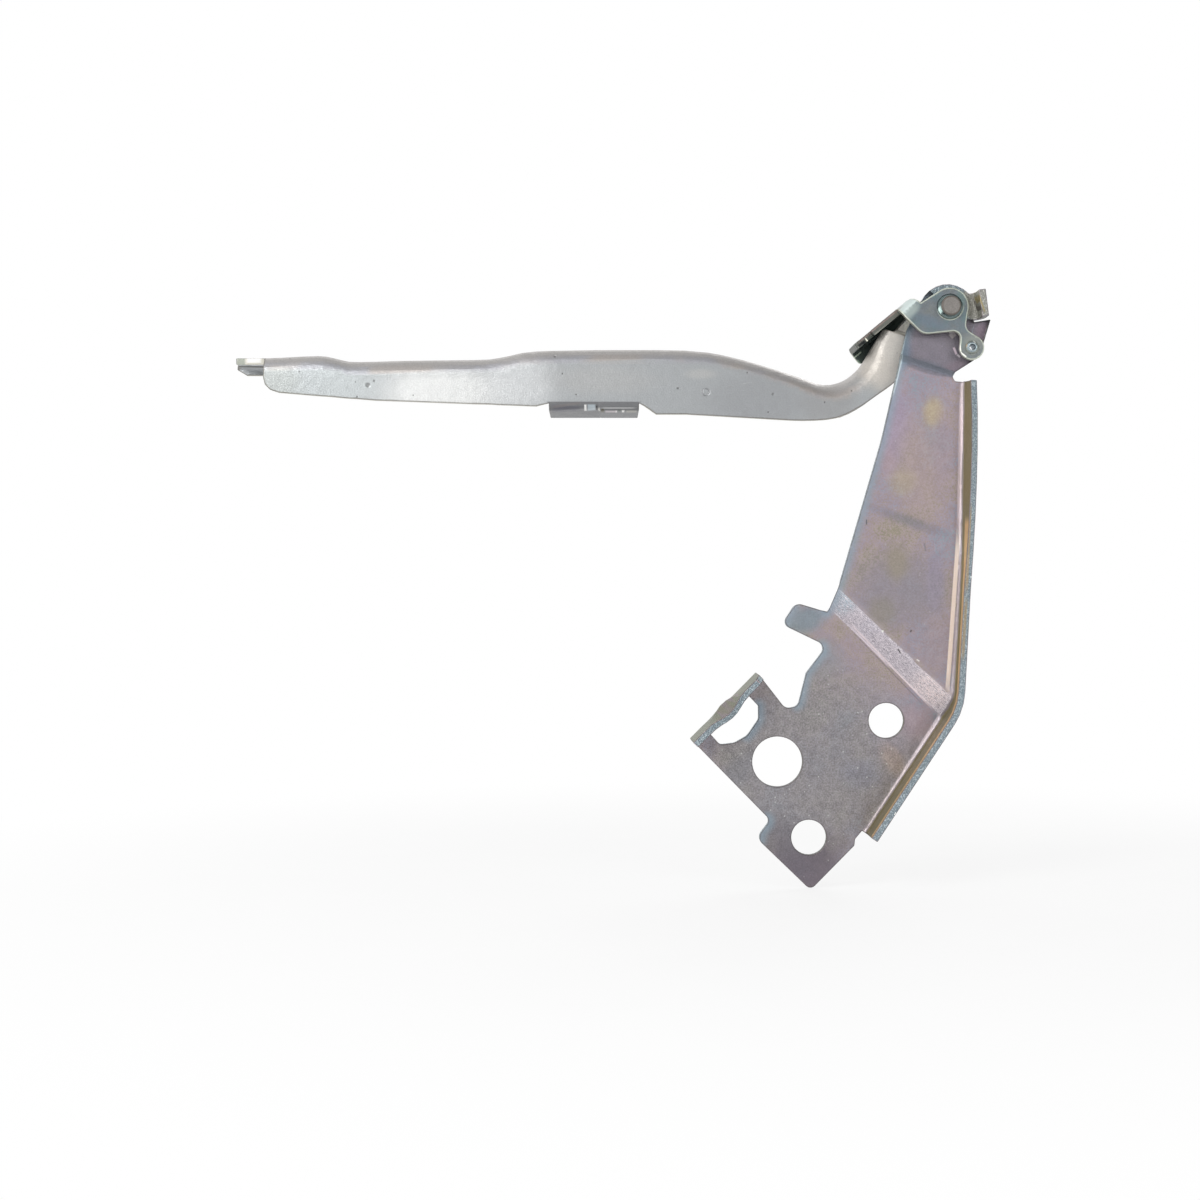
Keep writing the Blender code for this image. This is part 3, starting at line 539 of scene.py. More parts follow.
# %% Grain, patches, rim bands, facing, scratches and specks
GRAIN, tree, take, give = new_group(
    "plating grain", {"Place": (0.0, 0.0, 0.0), "Pitch": 0.6, "Contrast": 1.0}, {"Mask": float})
fine = tree.noise(take["Place"], tree.math("DIVIDE", 1.0, take["Pitch"]), 3.0, 0.65)
soft = tree.noise(take["Place"], tree.math("DIVIDE", 0.22, take["Pitch"]), 2.0, 0.5)
both = tree.math("ADD", tree.math("MULTIPLY", fine, 0.7), tree.math("MULTIPLY", soft, 0.3))
spread = tree.math("MULTIPLY", tree.math("SUBTRACT", both, 0.5), tree.math("MULTIPLY", take["Contrast"], 2.6))
tree.put(give.inputs["Mask"], tree.math("ADD", spread, 0.5, clamp=True))

PATCH, tree, take, give = new_group(
    "soft patch", {"Place": (0.0, 0.0, 0.0), "Centre": (0.0, 0.0, 0.0), "Size": (10.0, 10.0, 10.0),
                   "Turn": 0.0, "Ragged": 0.3, "Softness": 0.7, "Square": 0.0}, {"Mask": float})
offset = tree.vector("SUBTRACT", take["Place"], take["Centre"])
turned = tree.node("ShaderNodeVectorRotate", {"Vector": offset, "Angle": take["Turn"]},
                   rotation_type="Y_AXIS").outputs[0]
shrunk = tree.vector("DIVIDE", turned, take["Size"])
sides = tree.node("ShaderNodeSeparateXYZ", {0: tree.vector("ABSOLUTE", shrunk)}).outputs
farther = tree.math("MAXIMUM", sides[0], tree.math("MAXIMUM", sides[1], sides[2]))
squared = tree.math("MULTIPLY", farther, take["Square"])
round_share = tree.math("SUBTRACT", 1.0, take["Square"])
reach = tree.math("ADD", squared, tree.math("MULTIPLY", tree.vector("LENGTH", shrunk), round_share))
wobble = tree.math("SUBTRACT", tree.noise(take["Place"], 0.22, 3.0, 0.6), 0.5)
reach = tree.math("ADD", reach, tree.math("MULTIPLY", wobble, take["Ragged"]))
start = tree.math("SUBTRACT", 1.0, take["Softness"])
tree.put(give.inputs["Mask"], tree.between(reach, 1.0, start))

BAND, tree, take, give = new_group(
    "rim band", {"Place": (0.0, 0.0, 0.0), "Distance": 5.0, "Width": 2.0, "Fade": 1.0, "Ragged": 0.4},
    {"Mask": float})
wobble = tree.math("SUBTRACT", tree.noise(take["Place"], 0.35, 4.0, 0.65), 0.5)
shifted = tree.math("ADD", take["Distance"],
                    tree.math("MULTIPLY", tree.math("MULTIPLY", wobble, take["Ragged"]), take["Width"]))
tree.put(give.inputs["Mask"], tree.between(shifted, tree.math("ADD", take["Width"], take["Fade"]),
                                           take["Width"]))

FACING, tree, take, give = new_group(
    "facing", {"Direction": (-1.0, 0.0, 0.0), "Start": 0.3, "Full": 0.8}, {"Mask": float})
normal = tree.node("ShaderNodeTexCoord").outputs["Normal"]
tree.put(give.inputs["Mask"], tree.between(tree.vector("DOT_PRODUCT", normal, take["Direction"]),
                                           take["Start"], take["Full"]))

SCRATCHES, tree, take, give = new_group(
    "scratches", {"Place": (0.0, 0.0, 0.0), "Turn": 0.0, "Length": 8.0, "Width": 0.25, "Amount": 0.3},
    {"Mask": float})
turned = tree.node("ShaderNodeVectorRotate", {"Vector": take["Place"], "Angle": take["Turn"]},
                   rotation_type="Y_AXIS").outputs[0]
sizes = tree.node("ShaderNodeCombineXYZ", {0: take["Length"], 1: take["Width"], 2: take["Width"]}).outputs[0]
streaks = tree.noise(tree.vector("DIVIDE", turned, sizes), 1.0, 2.0, 0.5)
limit = tree.math("SUBTRACT", 0.78, tree.math("MULTIPLY", take["Amount"], 0.25))
tree.put(give.inputs["Mask"], tree.between(streaks, limit, tree.math("ADD", limit, 0.06)))

SPECKS, tree, take, give = new_group(
    "specks", {"Place": (0.0, 0.0, 0.0), "Pitch": 2.0, "Size": 0.14, "Share": 0.4}, {"Mask": float})
cells = tree.node("ShaderNodeTexVoronoi", {"Vector": take["Place"],
                                           "Scale": tree.math("DIVIDE", 1.0, take["Pitch"])})
chosen = tree.node("ShaderNodeSeparateColor", {0: cells.outputs["Color"]}).outputs[0]
dot = tree.between(cells.outputs["Distance"], take["Size"], tree.math("MULTIPLY", take["Size"], 0.5))
tree.put(give.inputs["Mask"], tree.math("MULTIPLY", dot, tree.math("LESS_THAN", chosen, take["Share"])))

# %% [markdown]
# The film on zinc is clear. It looks blue where it is thin, then lavender, pink, tan and olive as it gets
# thicker. One slow noise stands for the thickness, and a colour ramp turns it into those tints in order,
# so that neighbouring tints always belong together, as they do on the real film.

# %% The coloured film
FILM, tree, take, give = new_group(
    "zinc film", {"Place": (0.0, 0.0, 0.0), "Spread": 14.0, "Shift": 0.0, "Contrast": 1.0, "Grain": 0.3,
                  "Pitch": 0.5}, {"Colour": str})
slow = tree.noise(take["Place"], tree.math("DIVIDE", 1.0, take["Spread"]), 4.0, 0.55, 0.4)
thick = tree.math("MULTIPLY", tree.math("SUBTRACT", slow, 0.5), take["Contrast"])
fine = tree.noise(take["Place"], tree.math("DIVIDE", 1.0, take["Pitch"]), 2.0, 0.6)
crystals = tree.math("MULTIPLY", tree.math("SUBTRACT", fine, 0.5), take["Grain"])
thick = tree.math("ADD", tree.math("ADD", thick, crystals), tree.math("ADD", take["Shift"], 0.5), clamp=True)
tree.put(give.inputs["Colour"], tree.ramp(thick, [
    (0.12, screen(128, 158, 170)), (0.32, screen(156, 152, 172)), (0.48, screen(170, 152, 160)),
    (0.64, screen(174, 158, 148)), (0.82, screen(154, 148, 116))]))

STRIAE, tree, take, give = new_group(
    "shear marks", {"Place": (0.0, 0.0, 0.0), "Pitch": 0.5}, {"Mask": float})
flat = tree.node("ShaderNodeCombineXYZ", {0: 1.0, 1: 0.15, 2: 1.0}).outputs[0]
along = tree.vector("MULTIPLY", take["Place"], flat)
marks = tree.noise(along, tree.math("DIVIDE", 1.0, take["Pitch"]), 3.0, 0.7)
tree.put(give.inputs["Mask"], tree.between(marks, 0.42, 0.62))
print("Groups:", ", ".join(group.name for group in bpy.data.node_groups))


# %% [markdown]
# ## Painting a finish in layers
#
# A finish starts with one colour all over. Each layer then has a mask and a colour. A patch layer is a
# soft blot at a place in the picture, which is how the stains on the plates are laid out, and some
# painted highlights and painted shade as well.

# %% A helper that lays layers on a finish
PIXEL = 0.35
THROUGH = 40.0


class Finish:
    """A metal material that is painted in layers."""

    def __init__(self, name, metallic, base):
        self.material, self.tree, self.output = new_material(name)
        self.metallic = metallic
        coordinates = self.tree.node("ShaderNodeTexCoord").outputs["Object"]
        self.place = self.tree.vector("SCALE", coordinates, scale=1 / MM)
        self.colour = base
        self.rough = 0.4
        self.height = None

    def stored(self, name):
        """A number that the piece's mesh keeps for each point or face."""
        return self.tree.node("ShaderNodeAttribute", attribute_name=name).outputs["Fac"]

    def masked(self, group, **values):
        """The mask of an effect group at this piece's place."""
        inputs = {key.replace("_", " "): value for key, value in values.items()}
        if "Place" in group.interface.items_tree:
            inputs["Place"] = self.place
        return self.tree.group(group, inputs)["Mask"]

    def times(self, mask, amount):
        """A mask made weaker, or kept where another mask is."""
        return self.tree.math("MULTIPLY", mask, amount)

    def less(self, mask, other):
        """A mask where another mask isn't."""
        return self.tree.math("MULTIPLY", mask, self.tree.math("SUBTRACT", 1.0, other))

    def lay(self, mask, colour, blend="MIX"):
        """Paint one colour through a mask."""
        self.colour = self.tree.mix(mask, self.colour, colour, blend)

    def paint(self, mask, strength, colour):
        """Paint a screen colour through a mask made weaker."""
        self.lay(self.times(mask, strength), screen(*colour))

    def spot(self, column, row, depth, size, turn=0.0, **values):
        """The mask of one patch at a place in the picture, with its half sizes in mm."""
        return self.masked(PATCH, Centre=tuple(seen_at(column, row, depth)), Size=size,
                           Turn=math.radians(turn), **values)

    def smooth(self, mask, roughness):
        """Change the roughness through a mask."""
        self.rough = self.blend_value(mask, self.rough, roughness)

    def patches(self, depth, rows, where=1.0):
        """Soft blots: column, row, half width and half height in pixels, turn, colour, strength."""
        for column, row, wide, high, turn, colour, strength in rows:
            mask = self.spot(column, row, depth, (wide * PIXEL, THROUGH, high * PIXEL), turn)
            self.paint(self.times(mask, where), strength, colour)

    def facets(self, depth, rows, where=None, reach=6.0):
        """Sharp marks in rows like those of the patches, on faces toward the viewer if no mask is given."""
        if where is None:
            where = self.masked(FACING, Direction=(0.0, -1.0, 0.0), Start=0.05, Full=0.3)
        for column, row, wide, high, turn, colour, strength in rows:
            mask = self.spot(column, row, depth, (wide * PIXEL, reach, high * PIXEL), turn,
                             Square=1.0, Ragged=0.12, Softness=0.4)
            self.paint(self.times(mask, where), strength, colour)

    def matter(self, mask, metallic):
        """Change how metallic the surface is through a mask."""
        self.metallic = self.blend_value(mask, self.metallic, metallic)

    def blend_value(self, mask, first, second):
        """One number where the mask is 0, another where it is 1."""
        node = self.tree.node("ShaderNodeMix", data_type="FLOAT")
        for number, value in ((0, mask), (2, first), (3, second)):
            self.tree.put(node.inputs[number], value)
        return node.outputs[0]

    def raise_by(self, mask, amount):
        """Add a mask to the height of the surface, in mm."""
        step = self.tree.math("MULTIPLY", mask, amount)
        self.height = step if self.height is None else self.tree.math("ADD", self.height, step)

    def done(self):
        """Finish the material with its shader."""
        shader = self.tree.node("ShaderNodeBsdfPrincipled", {
            "Base Color": self.colour, "Metallic": self.metallic, "Roughness": self.rough})
        if self.height is not None:
            bump = self.tree.node("ShaderNodeBump", {"Height": self.height, "Distance": MM, "Strength": 1.0})
            self.tree.put(shader.inputs["Normal"], bump.outputs[0])
        self.tree.put(self.output.inputs["Surface"], shader.outputs[0])
        return self.material


# %% [markdown]
# ## The body bracket's iridescent zinc
#
# The bracket is the most colourful piece. Its upper plate is mauve and tan with yellow glows, its lower
# plate a grainy gunmetal that goes purple at the bottom. Left edges carry a cyan band, the sheared rims
# are pale blue, and the inside of the flange is olive and orange. The joggle, the bends of the flange and
# the walls of the holes also carry painted highlights and painted shade.

# %% Finish of the body bracket
zinc = Finish("iridescent zinc", 0.75, screen(158, 150, 153))
film = zinc.tree.group(FILM, {"Place": zinc.place, "Spread": 15.0, "Contrast": 1.3, "Grain": 0.95,
                              "Pitch": 0.6})["Colour"]
zinc.lay(0.62, film)
zinc.patches(-10.4, [
    (893, 425, 26, 60, 0, (166, 152, 172), 0.7), (920, 470, 30, 70, 0, (172, 156, 154), 0.7),
    (934, 412, 15, 22, 0, (186, 170, 142), 0.85), (902, 482, 19, 20, 0, (180, 167, 142), 0.55),
    (888, 462, 12, 20, 0, (176, 156, 164), 0.5), (943, 450, 14, 60, 0, (166, 150, 156), 0.6),
    (900, 590, 70, 55, 0, (148, 142, 148), 0.8), (897, 562, 18, 26, 0, (154, 146, 128), 0.7),
    (882, 612, 20, 22, 0, (146, 142, 126), 0.5), (935, 580, 14, 40, 0, (150, 144, 162), 0.6),
    (938, 645, 24, 40, 0, (162, 148, 152), 0.6)])
head = zinc.spot(940, 318, -9.0, (26.0, 12.0, 20.5), -18, Ragged=0.0, Softness=0.04)
zinc.paint(head, 0.92, (129, 125, 135))
zinc.patches(-9.0, [
    (968, 302, 7, 13, 0, (152, 144, 156), 0.8), (903, 352, 14, 22, 0, (112, 124, 141), 0.8),
    (930, 366, 30, 9, -18, (118, 124, 136), 0.6),
    (958, 366, 20, 10, 20, (138, 124, 134), 0.6), (985, 335, 12, 22, 0, (138, 120, 132), 0.7)])
step = zinc.masked(FACING, Direction=(0.16, -0.85, 0.5), Start=0.94, Full=0.985)
zinc.paint(step, 0.8, (152, 158, 172))
# A soft dark band along a faint crease: painted shade, with a shallow groove sunk in the bump.
crease_and_shade = zinc.spot(908, 521, -10.4, (19.0, 12.0, 3.0), -20, Ragged=0.5, Softness=0.85)
zinc.paint(crease_and_shade, 0.55, (120, 124, 134))
zinc.raise_by(crease_and_shade, -0.25)

lower = zinc.masked(PATCH, Centre=(-14.0, 3.2, 5.0), Size=(90.0, 6.6, 80.0), Ragged=0.0, Softness=0.12)
zinc.paint(lower, 0.72, (160, 160, 161))
zinc.patches(-2.4, [
    (805, 870, 60, 60, 0, (114, 107, 115), 0.9), (775, 835, 40, 30, -45, (126, 123, 128), 0.6),
    (730, 780, 18, 60, -45, (134, 136, 142), 0.5), (900, 735, 34, 70, 32, (166, 160, 168), 0.8),
    (893, 760, 14, 26, 32, (180, 164, 154), 0.7), (915, 722, 22, 26, 32, (178, 160, 170), 0.6),
    (806, 620, 30, 20, 25, (134, 148, 156), 0.85), (860, 775, 30, 22, 0, (146, 148, 160), 0.5),
    (822, 660, 30, 30, 0, (150, 152, 155), 0.6)])

grain = zinc.masked(GRAIN, Pitch=0.6, Contrast=1.7)
blotch = zinc.masked(GRAIN, Pitch=2.6, Contrast=1.2)
coarse = zinc.tree.math("ADD", zinc.times(lower, 0.36), 0.22)
zinc.lay(zinc.times(grain, coarse), screen(84, 82, 88))
zinc.lay(zinc.times(blotch, 0.42), screen(206, 202, 202), "SOFT_LIGHT")
specks = zinc.masked(SPECKS, Pitch=1.7, Size=0.2, Share=0.18)
zinc.lay(zinc.times(specks, zinc.tree.math("ADD", zinc.times(lower, 0.4), 0.12)), screen(226, 228, 226))

# %% [markdown]
# The slope of the joggle faces the bright floor below, so it is painted bright, a painted reflection, and
# its crossed hairlines were dragged over the die. Its left end is cyan, its right end painted nearly white
# as a highlight, and a thin painted highlight runs along its foot beside a line of painted shade.

# %% The joggle, the flange and the rims of the bracket
# Painted highlight: the joggle's slope is painted bright, and its right end nearly white.
joggle = zinc.masked(FACING, Direction=(-0.516, -0.669, -0.534), Start=0.93, Full=0.985)
zinc.paint(joggle, 0.95, (206, 198, 207))
zinc.patches(-6.0, [(844, 602, 16, 18, 0, (178, 194, 206), 0.9),
                    (930, 688, 28, 28, 0, (255, 238, 238), 0.95),
                    (868, 628, 14, 12, 0, (204, 200, 212), 0.6)], joggle)
zinc.matter(zinc.times(joggle, 0.9), 0.35)
DARK_HAIRS = (0.26, 0.95, 0.7, (140, 132, 144))
PALE_HAIRS = (0.24, 0.85, 0.6, (255, 248, 252))
for turn, length, (width, amount, strength, colour) in (
        (-42, 2.4, DARK_HAIRS), (-8, 1.6, DARK_HAIRS), (78, 1.5, DARK_HAIRS),
        (-30, 2.0, PALE_HAIRS), (15, 1.3, PALE_HAIRS), (60, 1.8, PALE_HAIRS)):
    hairs = zinc.masked(SCRATCHES, Turn=math.radians(turn), Length=length, Width=width, Amount=amount)
    zinc.lay(zinc.times(hairs, zinc.times(joggle, strength)), screen(*colour))
# Two painted highlights along the joggle's foot, with a thin line of painted shade beside the first.
zinc.facets(-2.4, [(890, 665, 66, 1.0, -46, (248, 232, 236), 0.7),
                   (886.5, 667, 60, 0.7, -46, (112, 106, 112), 0.5),
                   (868, 645, 34, 0.9, -46, (232, 218, 226), 0.6)])
zinc.facets(-6.0, [(898, 651, 3.2, 0.7, -60, (52, 50, 54), 0.9),
                   (881, 631, 1.2, 1.0, 0, (246, 246, 240), 0.9),
                   (916, 660, 2.0, 0.8, -30, (240, 236, 232), 0.8)], reach=9.0)
zinc.facets(-10.4, [(866.5, 522, 0.8, 3.0, 0, (84, 84, 88), 0.8),
                    (911, 631, 0.9, 1.6, -20, (80, 74, 76), 0.8),
                    (925, 547, 1.0, 5.0, 10, (110, 110, 120), 0.5)])
hairs = zinc.masked(SCRATCHES, Turn=math.radians(48), Length=9.0, Width=0.22, Amount=0.12)
zinc.paint(hairs, 0.5, (104, 98, 104))

across, depth, height = zinc.tree.node("ShaderNodeSeparateXYZ", {0: zinc.place}).outputs
upright = zinc.masked(FACING, Direction=(0.0, 0.0, 1.0), Start=-0.4, Full=-0.2)
toward = zinc.masked(FACING, Direction=(0.0, -1.0, 0.0), Start=0.05, Full=0.3)
# Painted highlight: the first turn of the flange's bend is painted lighter.
turned = zinc.times(zinc.masked(FACING, Direction=tuple(LEFTWARD), Start=0.1, Full=0.3), upright)
zinc.paint(turned, 0.6, (196, 184, 186))
below = zinc.tree.between(height, 92.0, 88.0)
# Painted highlights: bars along the flange's fold, with a thin line of painted shade beside the lower one.
zinc.facets(-10.4, [(960.0, 462, 2.4, 78, -1.1, (206, 188, 192), 0.6),
                    (952.8, 614, 2.5, 92, -4, (246, 230, 218), 0.85),
                    (956.8, 612, 1.2, 72, -4, (128, 118, 122), 0.5)], zinc.times(upright, toward))
# Painted shade: the middle of the flange's bend is painted darker.
mauve = zinc.masked(FACING, Direction=tuple(LEFTWARD), Start=0.5, Full=0.62)
zinc.paint(mauve, 0.85, (142, 134, 135))
wall = zinc.masked(FACING, Direction=tuple(LEFTWARD), Start=0.7, Full=0.86)
zinc.paint(wall, 0.95, (146, 138, 102))
front = zinc.tree.between(depth, -12.2, -13.2)
foot = zinc.times(zinc.tree.between(depth, -4.4, -6.5), lower)
amber = zinc.tree.math("MAXIMUM", zinc.times(front, below), foot)
right = zinc.tree.between(across, -2.0, 2.0)
zinc.paint(zinc.times(wall, zinc.times(amber, right)), 0.85, (240, 204, 150))
zinc.paint(zinc.less(wall, right), 0.8, (133, 138, 130))
tab_fold = zinc.spot(979, 300, -12.0, (6.0, 12.0, 8.0), Ragged=0.0, Softness=0.2)
zinc.paint(zinc.times(wall, tab_fold), 0.6, (150, 146, 126))

band = zinc.masked(BAND, Distance=zinc.stored("left_rim"), Width=0.5, Fade=3.2)
zinc.paint(band, 0.6, (142, 162, 176))
gleam = zinc.masked(BAND, Distance=zinc.stored("left_rim"), Width=0.35, Fade=0.5)
beside_neck = zinc.spot(900, 365, -9.0, (12.0, 12.0, 14.0), Softness=0.5)
zinc.paint(zinc.times(gleam, beside_neck), 0.9, (206, 222, 228))
line = zinc.masked(BAND, Distance=zinc.stored("rim"), Width=0.2, Fade=0.25, Ragged=0.8)
zinc.paint(line, 0.6, (84, 78, 76))
marks = zinc.masked(STRIAE, Pitch=0.5)
shear = zinc.tree.mix(marks, screen(128, 144, 152), screen(190, 204, 210))
sandy = zinc.tree.mix(marks, screen(156, 156, 148), screen(204, 204, 196))
shear = zinc.tree.mix(tab_fold, shear, sandy)
zinc.lay(zinc.times(zinc.stored("sheared"), 0.9), shear)
zinc.facets(-15.5, [(968.3, 548, 1.7, 50, -2.3, (186, 160, 122), 0.7),
                    (964.5, 629, 1.7, 35, -3.4, (178, 156, 120), 0.7)],
            zinc.stored("sheared"))
zinc.facets(-12.0, [(977.4, 305.6, 0.6, 11, 19, (96, 88, 84), 0.7),
                    (979.2, 305, 0.9, 11, 19, (178, 162, 112), 0.8)],
            1.0, 8.0)
# Painted shade: the walls of the holes are painted dark.
zinc.paint(zinc.stored("bored"), 0.9, (66, 72, 70))
zinc.facets(-14.0, [(894.5, 813, 1.6, 0.7, 60, (250, 250, 246), 0.9),
                    (971, 577, 2.2, 1.2, 0, (238, 244, 246), 0.8)])

# %% [markdown]
# Beside the lobe the head carries painted highlights, bright reflections laid as small facets. The side
# flange has a sharp dent: it is sunk with the bump and painted near black as its shadow, with light and
# dark lines along the flange's edge.

# %% Painted highlights beside the lobe, and the dent of the side flange
zinc.facets(-9.0, [
    (954, 334, 3.6, 3.2, 40, (214, 206, 208), 0.75), (951.5, 331, 1.6, 1.2, 30, (244, 240, 240), 0.8),
    (956.4, 350, 1.4, 4.6, 22, (232, 214, 226), 0.85), (960, 355, 2.2, 1.2, -40, (236, 226, 232), 0.8)])
# The dent is sunk with the bump; its near black paint is a painted shadow.
dent_and_shadow = zinc.spot(726, 673, -12.0, (2.4, 12.0, 1.3), 48, Ragged=0.4, Softness=0.5)
zinc.paint(dent_and_shadow, 0.75, (46, 44, 42))
zinc.raise_by(dent_and_shadow, -0.3)
zinc.facets(-14.0, [(700, 701, 4.5, 1.0, 48, (60, 58, 56), 0.7),
                    (748, 646, 4.0, 0.8, 45, (226, 232, 230), 0.7),
                    (712, 690, 5.0, 0.8, 46, (222, 226, 222), 0.6)])

zinc.smooth(grain, 0.46)
zinc.raise_by(grain, 0.05)
zinc.raise_by(blotch, 0.07)
zinc.raise_by(zinc.times(marks, zinc.stored("sheared")), 0.12)
iridescent_zinc = zinc.done()
print(iridescent_zinc.name, "has", len(iridescent_zinc.node_tree.nodes), "nodes")

# %% [markdown]
# ## The arm's satin zinc
#
# The arm is a neutral, lighter zinc with a few scuffs and small dark pits. Its patches paint it nearly white
# at the left and mid grey at the right, painted light that adds to the lamp on the left; the band under its
# top roll is a painted highlight with pink and orange hints, and its top faces are painted lighter as well.

# %% Finish of the arm
satin = Finish("satin zinc", 0.75, screen(170, 173, 175))
cloud = satin.masked(GRAIN, Pitch=5.0, Contrast=0.9)
satin.paint(cloud, 0.18, (196, 200, 203))
# Painted light: these patches make the arm lighter at the left and darker at the right, adding to the lamp on
# the left.
satin.patches(-5.5, [
    (440, 392, 96, 34, 0, (224, 225, 224), 0.95), (330, 385, 84, 44, 0, (184, 189, 190), 0.9),
    (275, 385, 34, 44, 0, (176, 180, 178), 0.8), (520, 385, 50, 44, 0, (216, 218, 219), 0.7),
    (600, 380, 80, 20, 0, (184, 184, 183), 0.5), (760, 400, 80, 40, 0, (160, 162, 165), 0.7),
    (830, 398, 40, 40, 0, (160, 160, 161), 0.6), (700, 374, 22, 7, 0, (190, 190, 188), 0.6)])
satin.patches(-3.0, [
    (866, 360, 30, 50, 35, (188, 184, 178), 0.85), (850, 356, 10, 34, 38, (202, 190, 180), 0.7),
    (884, 345, 8, 30, 22, (184, 186, 186), 0.6), (886, 328, 14, 5, 0, (198, 184, 176), 0.5)])
neck = satin.spot(878, 348, -3.0, (13.0, 60.0, 22.0), 32, Ragged=0.1, Softness=0.45)
satin.paint(neck, 0.75, (206, 199, 190))
satin.matter(neck, 0.35)
# Painted highlight: the band under the top roll is painted lighter, with pink and lavender hints.
under = satin.masked(FACING, Direction=(0.0, -0.9, 0.44), Start=0.93, Full=0.99)
hints = satin.tree.noise(satin.place, 0.05, 2.0)
roll_highlight = satin.tree.mix(satin.tree.between(hints, 0.4, 0.6), screen(200, 188, 180), screen(186, 184, 192))
satin.lay(satin.times(under, 0.55), roll_highlight)
# Painted light: faces that look up are painted lighter.
top = satin.masked(FACING, Direction=(0.0, 0.0, 1.0), Start=0.35, Full=0.75)
satin.paint(top, 0.85, (210, 206, 203))
grain = satin.masked(GRAIN, Pitch=0.55, Contrast=1.4)
satin.paint(grain, 0.2, (112, 112, 112))
scuffs = satin.masked(SCRATCHES, Turn=0.15, Length=7.0, Width=0.3, Amount=0.2)
satin.paint(scuffs, 0.3, (226, 226, 224))
pits = satin.masked(SPECKS, Pitch=4.0, Size=0.1, Share=0.3)
satin.paint(pits, 0.6, (76, 74, 70))
line = satin.masked(BAND, Distance=satin.stored("rim"), Width=0.25, Fade=0.3, Ragged=0.8)
satin.paint(line, 0.6, (112, 106, 94))
satin.paint(satin.stored("sheared"), 0.85, (224, 221, 209))

# %% [markdown]
# The arm has its own history: a ring left by a tool, a few pits, and a bottom tab whose floor is bent in
# facets. The facets are too small for the CAD model, so they are painted where the picture shows them, as
# bright strips of painted highlight and dark strips of painted shade on a tab painted dark as shade.

# %% Marks of the arm
for column, row, size in ((368, 385, 3.0), (374, 381, 1.6), (555, 356, 1.8), (678, 388, 1.4),
(773, 394, 1.8),
                          (825, 402, 1.4), (281, 396, 1.6)):
    pit = satin.spot(column, row, -5.5, (size * PIXEL, 3.0, size * PIXEL), Ragged=0.6, Softness=0.6)
    satin.paint(pit, 0.55, (92, 90, 88))
    satin.raise_by(pit, -0.15)
middle = tuple(seen_at(706, 392, -5.5))
outer_ring = satin.masked(PATCH, Centre=middle, Size=(1.6, 3.0, 1.6), Ragged=0.1, Softness=0.25)
inner_ring = satin.masked(PATCH, Centre=middle, Size=(1.2, 3.0, 1.2), Ragged=0.1, Softness=0.25)
ring = satin.less(outer_ring, inner_ring)
satin.paint(ring, 0.5, (120, 120, 122))
satin.raise_by(ring, -0.12)
# Painted shade: the tab under the arm, whose floor faces down, is painted dark.
tab = satin.spot(594, 412, 6.0, (17.0, 14.0, 2.6), Square=1.0, Ragged=0.0, Softness=0.1)
satin.paint(tab, 0.8, (105, 105, 107))
# Bright strips are painted highlights and dark strips painted shade, standing in for the tab's facets.
satin.facets(-3.5, [
    (566, 410, 17, 5.0, -3, (104, 104, 112), 0.8), (566, 405.5, 17, 1.6, 8, (128, 124, 124), 0.7),
    (585.4, 407.5, 1.4, 3.0, 0, (236, 236, 234), 0.95), (591.5, 407.5, 4.8, 3.2, 0, (178, 188, 194), 0.95),
    (590, 413, 7.0, 1.8, -3, (78, 80, 88), 0.85), (596.8, 410, 0.8, 5.0, 0, (36, 38, 38), 0.9),
    (599, 411.5, 0.9, 4.2, 0, (214, 212, 204), 0.9), (602.5, 410.5, 1.8, 1.6, 30, (96, 92, 78), 0.9),
    (611, 413, 6.6, 2.8, 0, (206, 196, 200), 0.9), (616.4, 413, 0.9, 2.8, 0, (240, 238, 236), 0.9),
    (619.6, 412.5, 1.7, 3.6, 0, (108, 114, 110), 0.9), (623.2, 413, 1.5, 3.4, 0, (236, 236, 232), 0.9),
    (631.5, 413.5, 6.2, 3.6, 0, (172, 170, 160), 0.8),
    (618, 408.4, 20, 0.7, 0, (206, 206, 206), 0.6)], tab, 6.0)
satin.facets(-3.5, [(590, 417.0, 50, 0.7, -3, (58, 60, 64), 0.85)], 1.0)
# At the arm's tip: a painted highlight along the top of the tongue, its grey-green end faces and a small dark
# mark where it meets the web.
satin.facets(-0.5, [
    (254.5, 361, 8.6, 2.6, 0, (250, 250, 248), 0.9), (241.5, 362, 4.8, 4.5, 0, (164, 170, 160), 0.85),
    (251, 368.5, 10, 2.2, -8, (140, 152, 146), 0.85),
    (262.5, 369, 1.4, 2.6, 30, (40, 42, 40), 0.85)], 1.0, 12.0)
# At the neck's top end: a dark patch of painted shade in the gap under the stop flange, and grey-beige
# patches where the neck and a small lump show.
satin.patches(-2.0, [(897, 329, 12, 8, 0, (152, 148, 142), 0.9), (901, 316, 9, 5, 20, (66, 72, 68), 0.85),
                     (901, 321.5, 5, 2.4, 20, (168, 164, 154), 0.9)])

satin.smooth(grain, 0.52)
satin.raise_by(grain, 0.03)
satin.raise_by(cloud, 0.03)
satin.raise_by(pits, -0.1)
satin_zinc = satin.done()

# %% [markdown]
# ## The stop bracket's green zinc, and the steel of the rivets
#
# The stop bracket came from another bath and is blue-green; the pale rims and the outside of its bend are
# painted highlights. The pivot end is turned steel, matt and warm grey.

